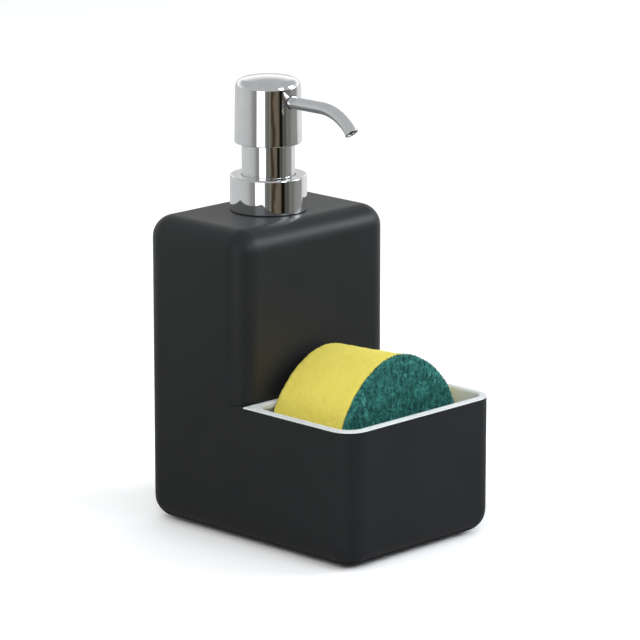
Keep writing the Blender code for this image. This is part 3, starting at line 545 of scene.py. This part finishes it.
def makeBasePlate(spec):
    x, front, back = casingHigh.x, casingLow.y, casingHigh.y
    parting = casingLow.z - sole - spec["footPlay"]
    outer = quarterRound(spec["edgeRadius"], parting)
    inner = spec["edgeRadius"] - housing["wall"]
    mouth = spec["edgeRadius"] - math.sqrt(inner ** 2 - (spec["edgeRadius"] - casingLow.z + sole) ** 2)
    lip = mouth + spec["footPlay"]
    lipTop = plateHigh.z - sole
    beadHeight = (parting + lipTop) / 2 + spec["bead"]
    levels = outer + [
        (lip, outer[-1][1]), (lip, beadHeight - spec["bead"]), (mouth - spec["footPlay"], beadHeight),
        (lip, beadHeight + spec["bead"]), (lip, lipTop), (lip + spec["lipWidth"], lipTop),
        (lip + spec["lipWidth"], spec["floor"]),
    ]
    bm = bmesh.new()
    skin(bm, [ringOutline(a - x, x - a, front + a, back - a, sole + z, [housing["uprightRadius"] - a] * 4)
              for a, z in levels])
    plate = finishMesh("basePlate", bm, "base_black")
    for number in range(1, footShape["count"] + 1):
        low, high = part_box(f"foot_pad_{number}")
        centre = middle(low, high, sole)
        radius = (high.x - low.x) / 2 + spec["footPlay"]
        depth = high.z - sole + spec["footPlay"]
        pocket = turned("pocket", [(0.0, -mm), (radius, -mm), (radius, depth), (0.0, depth)], None, centre)
        combine(plate, pocket, "DIFFERENCE")
    settle(evenShading(plate), "housing", "base_black", "base_plate")


def makeFoot(number, spec):
    # A rubber button with a softened rim and a shallow ring moulded in its face.
    node = f"foot_pad_{number}"
    low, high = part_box(node)
    centre = middle(low, high, low.z)
    radius = (high.x - low.x) / 2
    height = high.z - low.z
    edge, chamfer = spec["edge"], spec["topChamfer"]
    groove, half = radius * spec["grooveShare"], spec["grooveHalf"]
    floorHalf, depth = spec["grooveFloorHalf"], spec["grooveDepth"]
    profile = [(0.0, 0.0), (groove - half, 0.0), (groove - floorHalf, depth),
               (groove + floorHalf, depth), (groove + half, 0.0)]
    profile += roundEdge(radius - edge, edge, edge, -90, 0, 5)
    profile += [(radius, height - chamfer), (radius - chamfer, height), (0.0, height)]
    foot = turned(f"footButton{number}", profile, "foot_rubber", centre, spec["sides"])
    settle(evenShading(foot), "housing", "foot_rubber", node)


makeBasePlate(basePlate)
for number in range(1, footShape["count"] + 1):
    makeFoot(number, footShape)
print("base built")


trayShape = {
    "rimWidth": 3.5 * mm,
    "rimEdge": 0.36 * mm,
    "rimRoll": 1.1 * mm,
    "rimShelf": 1.1 * mm,
    "rimStep": 0.35 * mm,
    "shelfCorner": 3.0 * mm,
    "wall": 1.2 * mm,
    "floor": 1.4 * mm,
    "frontCorner": 6.5 * mm,
    "backCorner": 8.0 * mm,
    "floorRound": 2.4 * mm,
    "insideThinning": 0.2 * mm,
    "lipRun": 0.4 * mm,
    "backSlope": 1.6,  # drop of the back wall's shoulder for each unit of its run
    "backSteps": 6,
    "ribs": 5,
    "ribSpacing": 11.0 * mm,
    "ribWidth": 1.4 * mm,
    "ribHeight": 1.5 * mm,
    "ribRoot": 0.5 * mm,
    "ribEndShare": 0.9,
    "ribTopShare": 0.8,
}


def makeTray(spec):
    x, front, back, base = trayHigh.x, trayLow.y, trayHigh.y, trayLow.z
    top = trayHigh.z
    seat = top - housing["rimThickness"]
    wallInset = housing["wall"] + housing["gap"]
    gap, thick, width, edge = housing["gap"], spec["wall"], spec["rimWidth"], spec["rimEdge"]
    fc, bc, outer = spec["frontCorner"], spec["backCorner"], housing["uprightRadius"]
    backFace = gap + thick
    # inset of front and sides, inset of back, height, front corner, back corner
    levels = []
    for inset, rise in quarterRound(spec["floorRound"]):
        levels.append((wallInset + inset, gap + inset, base + rise, fc + thick - inset, bc + thick - inset))
    levels.append((wallInset, gap, seat, fc + thick, bc + thick))
    for inset, rise in quarterRound(edge, steps=4):
        levels.append((inset, inset, seat + rise, outer - inset, 0.0))
    shelf, step = spec["rimShelf"], spec["rimStep"]
    for inset, rise in reversed(quarterRound(edge, steps=4)):
        levels.append((inset, inset, top - step - rise, outer - inset, 0.0))
    for inset, rise in reversed(quarterRound(step, steps=4)):
        levels.append((shelf + inset, shelf + inset, top - rise, outer - shelf - inset,
                       spec["shelfCorner"]))
    roll = spec["rimRoll"]
    for inset, rise in quarterRound(roll, steps=6):
        levels.append((width - inset, width - inset, top - rise, fc + inset, bc + inset))
    lipEnd = min(seat - housing["rimThickness"], top - roll - spec["lipRun"])
    levels.append((width, width, lipEnd, fc, bc))
    backSteps = spec["backSteps"]
    for stage in range(1, backSteps + 1):
        share = 0.5 - 0.5 * math.cos(math.pi * stage / backSteps)
        drop = (width - backFace) * spec["backSlope"] * stage / backSteps
        levels.append((width, width + (backFace - width) * share, lipEnd - drop, fc, bc))
    innerFloor = base + spec["floor"]
    inside = spec["floorRound"] - spec["insideThinning"]
    for inset, rise in reversed(quarterRound(inside)):
        levels.append((width + inset, backFace + inset, innerFloor + rise, fc - inset, bc - inset))
    bm = bmesh.new()
    skin(bm, [ringOutline(a - x, x - a, front + a, back - b, z, [f, f, r, r]) for a, b, z, f, r in levels])
    tray = finishMesh("spongeTub", bm, "tray_white")
    run = (front + width + 2 * spec["floorRound"], back - backFace - 2 * spec["floorRound"])
    for index in range(spec["ribs"]):
        line = (index - (spec["ribs"] - 1) / 2) * spec["ribSpacing"]
        half = spec["ribWidth"] / 2
        rib = roundedBlock("rib", line - half, line + half, run[0], run[1],
                           innerFloor - spec["ribRoot"], innerFloor + spec["ribHeight"],
                           half * spec["ribEndShare"], top=half * spec["ribTopShare"])
        combine(tray, rib, "UNION")
    settle(evenShading(tray), "tray", "tray_white", "sponge_tray")


makeTray(trayShape)
print("tray built")


foamLow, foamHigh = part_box("sponge_foam")
padLow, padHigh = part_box("scourer_pad")
sponge = {
    "halfWidth": foamHigh.x,
    "shoulder": 47.8 * mm,
    "roundness": 1.75,
    "lean": 2.4 * mm,
    "footCorner": 1.5 * mm,
    "cornerSteps": 8,
    "points": 380,
    "finePoints": 400,
    "capCrowding": 0.8,
}
foamShape = {
    "frontRound": 0.5 * mm,
    "backRound": 3.0 * mm,
    "grain": 0.55 * mm,
    "capRows": 40,
    "ripples": [(9 * mm, 0.20 * mm), (2.4 * mm, 0.16 * mm), (1.0 * mm, 0.16 * mm)],
    "rippleShift": (3.0, 1.0, 7.0),
    "fill": 0.9,
}
feltShape = {
    "frontRound": 0.6 * mm,
    "backRound": 0.4 * mm,
    "grain": 0.5 * mm,
    "capRows": 60,
    "ripples": [(3.0 * mm, 0.25 * mm), (1.1 * mm, 0.22 * mm), (0.6 * mm, 0.12 * mm)],
    "rippleShift": (11.0, 5.0, 2.0),
    "fill": 0.7,
}


def archOutline(spec, bottom, top, count):
    # Evenly spaced points round the slab's outline: an arch over two upright sides and a flat foot.
    half, shoulder = spec["halfWidth"], spec["shoulder"]
    path = []
    fine = spec["finePoints"]
    for step in range(fine + 1):
        angle = math.pi * (1 - step / fine)
        reach = abs(math.cos(angle)) ** (2 / spec["roundness"])
        path.append((math.copysign(reach, math.cos(angle)) * half,
                     shoulder + (top - shoulder) * math.sin(angle) ** (2 / spec["roundness"])))
    corner, steps = spec["footCorner"], spec["cornerSteps"]
    path += roundEdge(half - corner, bottom + corner, corner, 0, -90, steps)
    path += roundEdge(corner - half, bottom + corner, corner, -90, -180, steps)
    path.append(path[0])
    points = np.array(path)
    lengths = np.concatenate([[0.0], np.cumsum(np.hypot(*np.diff(points, axis=0).T))])
    places = np.linspace(0.0, lengths[-1], count, endpoint=False)
    return np.stack([np.interp(places, lengths, points[:, k]) for k in (0, 1)], axis=1)


def inward(outline):
    ahead = np.roll(outline, -1, axis=0) - np.roll(outline, 1, axis=0)
    normal = np.stack([ahead[:, 1], -ahead[:, 0]], axis=1)
    return normal / np.linalg.norm(normal, axis=1, keepdims=True)


def makeSlab(name, spec, shape, low, high, slot):
    # A closed slab along Y: rounded ends, and end faces filled by rings that shrink to the middle.
    outline = archOutline(spec, low.z, high.z, spec["points"])
    normal = inward(outline)
    centre = np.array([0.0, (low.z + high.z) / 2])
    frontRound, backRound, capRows = shape["frontRound"], shape["backRound"], shape["capRows"]

    def endRings(radius, place, toward):
        made = []
        for inset, rise in quarterRound(radius, steps=5):
            made.append((outline + normal * inset, place + toward * rise))
        flat = made[0][0]
        caps = [(centre + (flat - centre) * (row / capRows) ** spec["capCrowding"], made[0][1])
                for row in range(1, capRows)]
        return caps + made

    rings = endRings(frontRound, low.y, 1.0)
    straight = high.y - low.y - frontRound - backRound
    count = max(2, int(straight / shape["grain"]))
    rings += [(outline, low.y + frontRound + straight * i / count) for i in range(1, count)]
    rings += list(reversed(endRings(backRound, high.y, -1.0)))
    bm = bmesh.new()
    skin(bm, [[(x, y, z) for x, z in ring] for ring, y in rings])
    return finishMesh(name, bm, slot, 80.0)


def ripple(piece, amounts, shift):
    # Moves each point along its normal by layered noise: amounts holds (size, height) pairs.
    mesh = piece.data
    moved = []
    for vertex in mesh.vertices:
        lift = 0.0
        for size, height in amounts:
            lift += height * noise.noise(Vector(vertex.co) / size + Vector(shift))
        moved.append(vertex.co + vertex.normal * lift)
    for vertex, place in zip(mesh.vertices, moved):
        vertex.co = place
    mesh.update()


def leanTop(piece, spec, front, back, base, top):
    # The top sinks slightly towards the back, as a soft block does.
    for vertex in piece.data.vertices:
        along = (vertex.co.y - front) / (back - front)
        up = max(vertex.co.z - base, 0.0) / (top - base)
        vertex.co.z -= spec["lean"] * along * up
    piece.data.update()


def makeFoamBlock(spec, shape):
    foam = makeSlab("foamBlock", spec, shape, foamLow, foamHigh, "foam_yellow")
    leanTop(foam, spec, padLow.y, foamHigh.y, foamLow.z, foamHigh.z)
    ripple(foam, shape["ripples"], shape["rippleShift"])
    settle(foam, "sponge", "foam_yellow", "sponge_foam")


def makeScourerSlab(spec, shape):
    pad = makeSlab("scourerFeltPad", spec, shape, padLow, padHigh, "scourer_green")
    leanTop(pad, spec, padLow.y, foamHigh.y, padLow.z, padHigh.z)
    ripple(pad, shape["ripples"], shape["rippleShift"])
    settle(pad, "sponge", "scourer_green", "scourer_pad")


fibre = {
    "count": 4300,
    "radius": 0.09 * mm,
    "length": 7.0 * mm,
    "shortest": 0.5,  # share of the length
    "bends": 5,
    "corners": (0.0, 2.094, 4.189),  # a three-sided strand
    "across": (0.3, 0.9, 0.2),
    "spread": 0.55,
    "curl": 0.35,
    "wander": 0.25,
    "deepest": -0.25 * mm,
    "proudest": 0.30 * mm,
    "weave": 0.22 * mm,
    "weaveTurn": 1.7,
    "margin": 0.3 * mm,
    "overhang": 0.25 * mm,
    "seed": 4117,
}
strays = {
    "share": 4,  # one stray end for so many strands
    "footClear": 2.0 * mm,
    "edge": 0.1 * mm,
    "swing": 0.5,
    "points": 4,
    "root": -0.8,
    "reach": 0.42,
    "shortest": 0.8,
    "sideways": 0.5,
    "weave": 0.15 * mm,
}


def makeFibres(spec, loose, shape):
    # Loose strands bonded over the scourer's face and fraying a little past its outline.
    rng = random.Random(spec["seed"])
    outline = archOutline(shape, padLow.z, padHigh.z, shape["points"])
    normal = inward(outline)
    top, base, depth = padHigh.z, padLow.z, foamHigh.y - padLow.y
    bm = bmesh.new()

    def reach(x):
        share = min(abs(x) / shape["halfWidth"], 1.0)
        return shape["shoulder"] + (top - shape["shoulder"]) * (1 - share ** shape["roundness"]) ** (
            1 / shape["roundness"])

    def strand(points):
        rings = []
        for here, after in zip(points, points[1:] + points[-1:]):
            along = (after - here) if after is not here else (here - points[-2])
            along = along.normalized()
            side = along.cross(Vector(spec["across"])).normalized()
            other = along.cross(side)
            rings.append([here + (side * math.cos(a) + other * math.sin(a)) * spec["radius"]
                          for a in spec["corners"]])
        skin(bm, rings)

    made = 0
    while made < spec["count"]:
        x = rng.uniform(-shape["halfWidth"], shape["halfWidth"])
        z = rng.uniform(base + mm, top)
        if z > reach(x) - spec["margin"]:
            continue
        heading = rng.gauss(math.pi / 2, spec["spread"])
        bend = rng.gauss(0.0, spec["curl"])
        deep = rng.uniform(spec["deepest"], spec["proudest"])
        step = spec["length"] * rng.uniform(spec["shortest"], 1.0) / spec["bends"]
        points = []
        for k in range(spec["bends"] + 1):
            y = padLow.y + deep + spec["weave"] * math.sin(k * spec["weaveTurn"] + made)
            if abs(x) < shape["halfWidth"] and base + spec["margin"] < z < reach(x) + spec["overhang"]:
                points.append(Vector((x, y, z - shape["lean"] * (y - padLow.y) / depth)))
            x += step * math.cos(heading)
            z += step * math.sin(heading)
            heading += bend + rng.gauss(0.0, spec["wander"])
        if len(points) > 2:
            strand(points)
        made += 1
    for k in range(spec["count"] // loose["share"]):
        index = rng.randrange(shape["points"])
        px, pz = outline[index]
        nx, nz = -normal[index]
        if pz < base + loose["footClear"]:
            continue
        y = rng.uniform(padLow.y + loose["edge"], padHigh.y - loose["edge"])
        swing = rng.uniform(-loose["swing"], loose["swing"])
        points = []
        for j in range(loose["points"]):
            out = (loose["root"] + loose["reach"] * j) * mm * rng.uniform(loose["shortest"], 1.0)
            aside = swing * j * mm * loose["sideways"]
            points.append(Vector((px + nx * out - nz * aside, y + loose["weave"] * math.sin(j + k),
                                  pz + nz * out + nx * aside)))
        strand(points)
    mesh = meshFrom("scourerStrands", bm)
    mesh.shade_smooth()
    mesh.materials.append(fibreFinish)
    settle(addObject("scourerStrands", mesh), "sponge", "scourer_green")


makeFoamBlock(sponge, foamShape)
makeScourerSlab(sponge, feltShape)
makeFibres(fibre, strays, sponge)
print("sponge built")


collarLow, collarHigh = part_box("closure_collar")
sleeveLow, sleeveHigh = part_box("guide_sleeve")
pump = {
    "collarWall": 0.9 * mm,
    "collarEdge": 0.8 * mm,
    "collarLip": 0.25 * mm,
    "collarFoot": 0.2 * mm,
    "sleeveRadius": 11.2 * mm,
    "sleeveWall": 1.0 * mm,
    "gap": 0.3 * mm,
    "headTopRadius": 13.8 * mm,
    "headEdge": 3.9 * mm,
    "headCrown": 1.2 * mm,
    "headWall": 1.3 * mm,
    "headHem": 0.3 * mm,
    "headSlope": 80,  # degrees at which the crown meets its rounded edge
    "crownSteps": 10,
    "spoutInner": 2.6 * mm,  # where the spout starts inside the head
    "spoutHoleInner": 6.0 * mm,
    "spoutRadius": 2.6 * mm,
    "spoutBore": 1.9 * mm,
    "spoutHeight": 47.2 * mm,
    "spoutStraight": 31.0 * mm,
    "spoutBend": 22.3 * mm,
    "spoutTurn": math.radians(49),
    "spoutLip": 2.9 * mm,
    "spoutSteps": 12,
    "bendSteps": 32,
    "spoutSides": 48,
    "mouthFlare": 0.35 * mm,
    "mouthDepth": 0.15 * mm,
    "mouthThroat": 0.12 * mm,
}


def makeCollar(spec):
    radius, bottom, top = collarHigh.x, collarLow.z - pumpAxis.z, collarHigh.z - pumpAxis.z
    edge, wall = spec["collarEdge"], spec["collarWall"]
    hole = spec["sleeveRadius"] + spec["gap"]
    inner, small, foot = radius - wall, spec["collarLip"], spec["collarFoot"]
    profile = [(inner, bottom)]
    profile += roundEdge(radius - foot, bottom + foot, foot, -90, 0, 6)
    profile += roundEdge(radius - edge, top - edge, edge, 0, 90, 8)
    profile += roundEdge(hole + small, top - small, small, 90, 180, 4)
    profile += [(hole, top - wall), (inner, top - wall)]
    collar = turned("collarShell", profile, "chrome", pumpAxis)
    settle(evenShading(collar), "collar", "chrome", "closure_collar")


def makeSleeve(spec):
    radius = spec["sleeveRadius"]
    bore = radius - spec["sleeveWall"]
    bottom, top = sleeveLow.z - pumpAxis.z, sleeveHigh.z - pumpAxis.z
    flange, flangeTop = sleeveHigh.x, bottom + spec["sleeveWall"]
    profile = [(bore, bottom), (flange, bottom), (flange, flangeTop), (radius, flangeTop)]
    profile += roundEdge(radius - spec["gap"], top - spec["gap"], spec["gap"], 0, 90, 4)
    profile.append((bore, top))
    sleeve = turned("guideChimney", profile, "chrome", pumpAxis)
    settle(evenShading(sleeve), "collar", "chrome", "guide_sleeve")


def makeHeadCap(spec):
    skirt, bottom, top = capHigh.x, capLow.z - pumpAxis.z, capHigh.z - pumpAxis.z
    edge, wall, crown = spec["headEdge"], spec["headWall"], spec["headCrown"]
    reach = spec["headTopRadius"] - edge
    flat = top - crown
    small, slope, crownSteps = spec["headHem"], spec["headSlope"], spec["crownSteps"]
    profile = [(0.0, top)]
    rim = flat - edge + edge * math.sin(math.radians(slope))
    rimRadius = reach + edge * math.cos(math.radians(slope))
    for step in range(1, crownSteps):
        share = step / crownSteps
        profile.append((rimRadius * share, top - (top - rim) * share ** 2))
    profile += roundEdge(reach, flat - edge, edge, slope, 0, 14)
    profile += roundEdge(skirt - small, bottom + small, small, 0, -90, 4)
    profile.append((skirt - wall, bottom))
    profile += roundEdge(reach, flat - edge, edge - wall, 0, 90, 8)
    profile.append((0.0, flat - wall))
    cap = turned("headCap", profile, "chrome", pumpAxis, 160)
    hole = forwardBar(spec["spoutRadius"] + spec["gap"], spec["spoutHoleInner"], skirt + mm,
                      spec["spoutHeight"], spec["spoutSides"])
    combine(cap, hole, "DIFFERENCE", 30.0)
    settle(evenShading(cap), "head", "chrome", "actuator_cap")


def forwardBar(radius, near, far, height, sides):
    bm = bmesh.new()
    rings = []
    for reach in (near, far):
        rings.append([(pumpAxis.x + radius * math.cos(2 * math.pi * i / sides), pumpAxis.y - reach,
                       pumpAxis.z + height + radius * math.sin(2 * math.pi * i / sides))
                      for i in range(sides)])
    skin(bm, rings)
    return finishMesh("bar", bm, None)


def makeSpout(spec):
    # A drawn tube: straight out of the head, one smooth bend, and a rolled lip round its mouth.
    height, bend, straight = spec["spoutHeight"], spec["spoutBend"], spec["spoutStraight"]
    inner, steps, bendSteps = spec["spoutInner"], spec["spoutSteps"], spec["bendSteps"]
    path = []  # reach from the pump's axis, height, heading and radius
    for step in range(steps + 1):
        path.append((inner + (straight - inner) * step / steps, height, 0.0, spec["spoutRadius"]))
    for step in range(1, bendSteps + 1):
        angle = spec["spoutTurn"] * step / bendSteps
        path.append((straight + bend * math.sin(angle), height - bend * (1 - math.cos(angle)),
                     angle, spec["spoutRadius"]))
    reach, level, heading, _ = path[-1]
    lip, plain = spec["spoutLip"], spec["spoutRadius"]
    proud = lip - plain
    ends = [(0.25, plain), (0.40, plain + 0.3 * proud), (0.55, lip - 0.15 * proud), (0.70, lip), (0.86, lip),
            (0.95, lip - 0.3 * proud), (1.0, lip - 0.8 * proud)]
    for run, radius in ends:
        path.append((reach + run * mm * math.cos(heading), level - run * mm * math.sin(heading), heading,
                     radius))
    mouth, bore, depth = path[-1], spec["spoutBore"], spec["mouthDepth"]
    inside = [(r, z, h, bore) for r, z, h, _ in reversed(path[:-5])]
    flare = [(mouth[0], mouth[1], mouth[2], bore + spec["mouthFlare"]),
             (mouth[0] - depth * math.cos(heading), mouth[1] + depth * math.sin(heading), heading,
              bore + spec["mouthThroat"])]
    sides = spec["spoutSides"]
    rings = []
    for r, z, turn, radius in path + flare + inside:
        ring = []
        for i in range(sides):
            angle = 2 * math.pi * i / sides
            lift = radius * math.sin(angle)
            ring.append((pumpAxis.x + radius * math.cos(angle),
                         pumpAxis.y - r - lift * math.sin(turn), pumpAxis.z + z + lift * math.cos(turn)))
        rings.append(ring)
    bm = bmesh.new()
    skin(bm, rings, joined=True)
    spout = finishMesh("bentSpout", bm, None, 50.0)
    spout.data.materials.append(spoutFinish)
    settle(spout, "head", "chrome", "spout_tube")


springLow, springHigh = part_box("return_spring")
springShape = {
    "radius": 3.4 * mm,
    "wire": 0.4 * mm,
    "turns": 6.5,
    "endGap": 0.3 * mm,  # between the closed end turns and the first open one
    "perTurn": 40,
    "sides": 12,
}


def makeSpring(spec):
    low, high = springLow.z + spec["wire"], springHigh.z - spec["wire"]
    closedRise = 2 * spec["wire"] + spec["endGap"]
    count = int(spec["turns"] * spec["perTurn"])

    def height(turn):
        if turn < 1.0:
            return low + closedRise * turn
        if turn > spec["turns"] - 1.0:
            return high - closedRise * (spec["turns"] - turn)
        share = (turn - 1.0) / (spec["turns"] - 2.0)
        return low + closedRise + share * (high - low - 2 * closedRise)

    rings = []
    for step in range(count + 1):
        turn = spec["turns"] * step / count
        angle = 2 * math.pi * turn
        ring = []
        for side in range(spec["sides"]):
            around = 2 * math.pi * side / spec["sides"]
            r = spec["radius"] + spec["wire"] * math.cos(around)
            ring.append((pumpAxis.x + r * math.cos(angle), pumpAxis.y + r * math.sin(angle),
                         height(turn) + spec["wire"] * math.sin(around)))
        rings.append(ring)
    bm = bmesh.new()
    skin(bm, rings)
    spring = finishMesh("returnCoil", bm, "spring_steel")
    settle(spring, "pump_cartridge", "spring_steel", "return_spring")
    stroke = next(joint["range_m"][1] for joint in frame["joints"] if joint["name"] == "pump_stroke")
    length = springHigh.z - springLow.z
    (length - stroke) / length
    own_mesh(spring)


makeCollar(pump)
makeSleeve(pump)
makeHeadCap(pump)
makeSpout(pump)
makeSpring(springShape)
print("pump built")


studio = {
    "floorHalf": 9.0,
    "floorTint": colour(250, 250, 250),
    "zenith": (0.48, 0.49, 0.50, 1.0),
    "nearSky": (0.53, 0.54, 0.55, 1.0),
    "farSky": (1.22, 1.22, 1.22, 1.0),
    "drumRadius": 0.45,
    "drumHeight": 0.25,
    "drumSides": 720,
    "drumRows": 50,
    "sway": 9.0,
    "swayMiddle": 22.0,
    "swayReach": 15.0,
    "longWave": 5.5 * mm,
    "shortWave": 1.9 * mm,
    "tableMiddle": 0.05,
    "tableLevel": (0.16, 0.16, 0.165, 1.0),
    "tableEdge": (0.26, 0.26, 0.265, 1.0),
}

# Brightness round the drum, by degrees to the right of the camera's own direction.
drumStops = [
    (-180, (0.66, 0.66, 0.66)), (-150, (0.62, 0.63, 0.63)), (-100, (0.60, 0.61, 0.61)),
    (-80, (0.56, 0.57, 0.57)), (-68, (0.52, 0.53, 0.52)), (-61, (0.46, 0.47, 0.46)),
    (-56, (0.38, 0.38, 0.37)), (-50, (0.28, 0.29, 0.28)), (-39, (0.25, 0.25, 0.24)),
    (-37.5, (1.6, 1.6, 1.6)), (-11, (1.6, 1.6, 1.6)), (-9.5, (0.22, 0.22, 0.21)),
    (-7, (0.19, 0.20, 0.19)), (-3, (0.17, 0.17, 0.15)), (0, (0.12, 0.12, 0.11)),
    (4, (0.19, 0.19, 0.16)), (7, (0.19, 0.18, 0.15)), (10, (0.11, 0.09, 0.07)),
    (13, (0.045, 0.035, 0.02)), (18, (0.055, 0.04, 0.025)), (22, (0.11, 0.085, 0.06)),
    (26, (0.17, 0.135, 0.10)), (33, (0.15, 0.125, 0.095)), (36, (0.13, 0.11, 0.085)),
    (38.5, (0.06, 0.05, 0.04)), (40.5, (0.008, 0.006, 0.004)), (47.5, (0.008, 0.008, 0.005)),
    (50, (0.05, 0.05, 0.04)), (53, (0.11, 0.11, 0.10)), (58, (0.075, 0.08, 0.07)),
    (62, (0.10, 0.10, 0.09)), (67, (0.19, 0.19, 0.18)), (78, (0.165, 0.165, 0.155)),
    (84, (0.24, 0.24, 0.23)), (92, (0.28, 0.28, 0.27)), (113, (0.31, 0.31, 0.30)),
    (116, (0.38, 0.38, 0.37)), (119, (0.72, 0.72, 0.71)), (135, (0.82, 0.83, 0.84)),
    (160, (0.78, 0.79, 0.80)), (180, (0.66, 0.66, 0.66)),
]


def makeFloor(spec):
    material, shader, place = newFinish("paleFloor")
    cloud = place.noise(0.4, 3.0)
    base = cloud.between(spec["floorTint"], colour(247, 247, 247))
    dress(shader, place, base, 0.9, cloud, 0.1 * mm, 0.1, {"Specular IOR Level": 0.1})
    half = spec["floorHalf"]
    mesh = bpy.data.meshes.new("floor")
    mesh.from_pydata([(-half, -half, 0.0), (half, -half, 0.0), (half, half, 0.0), (-half, half, 0.0)],
                     [], [(0, 1, 2, 3)])
    mesh.materials.append(material)
    floor = addObject("floor", mesh)
    floor.visible_glossy = False


def mirrorsOnly(piece):
    piece.visible_camera = False
    piece.visible_diffuse = False
    piece.visible_shadow = False
    piece.visible_transmission = False


def glowFinish(name, makeTone):
    # A card that shines with the tone that makeTone builds on an empty tree.
    material = bpy.data.materials.new(name)
    material.use_nodes = True
    tree = material.node_tree
    tree.nodes.clear()
    tone = makeTone(Flow(tree))
    light = tone.node("ShaderNodeEmission", None, {"Color": tone, "Strength": 1.0})
    output = tree.nodes.new("ShaderNodeOutputMaterial")
    tree.links.new(light.socket, output.inputs["Surface"])
    return material


def makeTableCard(spec):
    # What polished and satin surfaces see below them: a dim table, lighter towards its edge.
    def tone(start):
        place = start.node("ShaderNodeTexCoord", None, None, "Object")
        reach = place.node("ShaderNodeVectorMath", {"operation": "LENGTH"}, {0: place}, 1)
        return reach.spread(spec["tableMiddle"], spec["drumRadius"]).between(spec["tableLevel"],
                                                                             spec["tableEdge"])

    bm = bmesh.new()
    bmesh.ops.create_circle(bm, cap_ends=True, segments=96, radius=spec["drumRadius"])
    mesh = meshFrom("tableCard", bm)
    mesh.materials.append(glowFinish("tableCard", tone))
    card = addObject("tableCard", mesh)
    card.location.z = -mm
    mirrorsOnly(card)


def makeDrum(spec, stops):
    # A low ring of light and dark studio cards that only mirrors see.
    sides, rows = spec["drumSides"], spec["drumRows"]
    toward = math.radians(-90 + cameraSetup["azimuth"])
    verts, faces, places = [], [], []
    for i in range(sides):
        angle = toward + 2 * math.pi * i / sides
        for k in range(rows + 1):
            verts.append((spec["drumRadius"] * math.cos(angle), spec["drumRadius"] * math.sin(angle),
                          mm + (spec["drumHeight"] - mm) * k / rows))
    for i in range(sides):
        first = i * (rows + 1)
        second = (i + 1) % sides * (rows + 1)
        left = (i * 360 / sides + 180) % 360 - 180
        right = left + 360 / sides
        for k in range(rows):
            faces.append((first + k, second + k, second + k + 1, first + k + 1))
            places += [(left, k), (right, k), (right, k + 1), (left, k + 1)]
    mesh = bpy.data.meshes.new("studioCards")
    mesh.from_pydata(verts, [], faces)
    shade = mesh.color_attributes.new("shade", "FLOAT_COLOR", "CORNER")
    offsets, level = np.array(places).T
    height = level * spec["drumHeight"] / rows
    # The dark cards hang unevenly, so their edges wander with height.
    loose = np.clip(1 - np.abs(offsets - spec["swayMiddle"]) / spec["swayReach"], 0, 1)
    wander = 0.7 * np.sin(height / spec["longWave"] + 0.6) + 0.3 * np.sin(height / spec["shortWave"])
    offsets = offsets + spec["sway"] * loose * wander
    degrees = [row[0] for row in stops]
    channels = [np.interp(offsets, degrees, [row[1][k] for row in stops]) for k in range(3)]
    shade.data.foreach_set("color", np.stack(channels + [np.ones_like(offsets)], axis=1).ravel())
    mesh.materials.append(glowFinish("studioCards", lambda start: start.node(
        "ShaderNodeAttribute", {"attribute_name": "shade"})))
    drum = addObject("studioCards", mesh)
    drum.location = (pumpAxis.x, pumpAxis.y, 0.0)
    mirrorsOnly(drum)


def aroundPump(offset, distance, height):
    # A place in the studio, by degrees to the right of the camera's own direction.
    angle = math.radians(-90 + cameraSetup["azimuth"] + offset)
    return Vector((pumpAxis.x + distance * math.cos(angle), pumpAxis.y + distance * math.sin(angle), height))


def makeWorld(spec):
    world = bpy.data.worlds.new("studio")
    world.use_nodes = True
    tree = world.node_tree
    heading = Flow(tree).node("ShaderNodeTexCoord", None, None, "Generated")
    rise = heading.node("ShaderNodeSeparateXYZ", None, {0: heading}, 2)
    behind = aroundPump(180, 1.0, 0.0) - pumpAxis
    facing = heading.node("ShaderNodeVectorMath", {"operation": "DOT_PRODUCT"},
                          {0: heading, 1: (behind.x, behind.y, 0.0)}, 1)
    away = facing.spread(-0.1, 0.9)
    low = away.between(spec["nearSky"], spec["farSky"])
    sky = rise.spread(0.20, 0.55).between(low, spec["zenith"])
    tree.links.new(sky.socket, tree.nodes["Background"].inputs["Color"])
    bpy.context.scene.world = world


def makeSoftbox(name, place, aim, size, power, tint=(1.0, 1.0, 1.0), mirrored=False):
    data = bpy.data.lights.new(name, "AREA")
    data.shape = "RECTANGLE"
    data.size, data.size_y = size
    data.energy = power
    data.color = tint
    lamp = addObject(name, data)
    lamp.location = place
    lamp.rotation_mode = "QUATERNION"
    lamp.rotation_quaternion = (Vector(aim) - Vector(place)).to_track_quat("-Z", "Y")
    lamp.visible_camera = False
    lamp.visible_glossy = mirrored


makeFloor(studio)
makeTableCard(studio)
makeDrum(studio, drumStops)
makeWorld(studio)
pumpMiddle = (pumpAxis.x, pumpAxis.y, 160 * mm)
makeSoftbox("ceiling", (0, 0, 3.0), (0, 0, 0), (8.0, 8.0), 124.0)
makeSoftbox("keyBox", (-1.3, -0.9, 1.1), (0, 0, 0.06), (0.9, 0.9), 15.0)
makeSoftbox("windowNear", aroundPump(51, 1.2, 0.78), pumpMiddle, (0.34, 0.50), 3.5, (0.88, 0.94, 1.0), True)
makeSoftbox("windowFar", aroundPump(98, 1.2, 0.62), pumpMiddle, (0.50, 0.55), 9.0, (0.86, 0.93, 1.0), True)
bpy.context.scene.view_settings.view_transform = "Standard"
print("light ready")
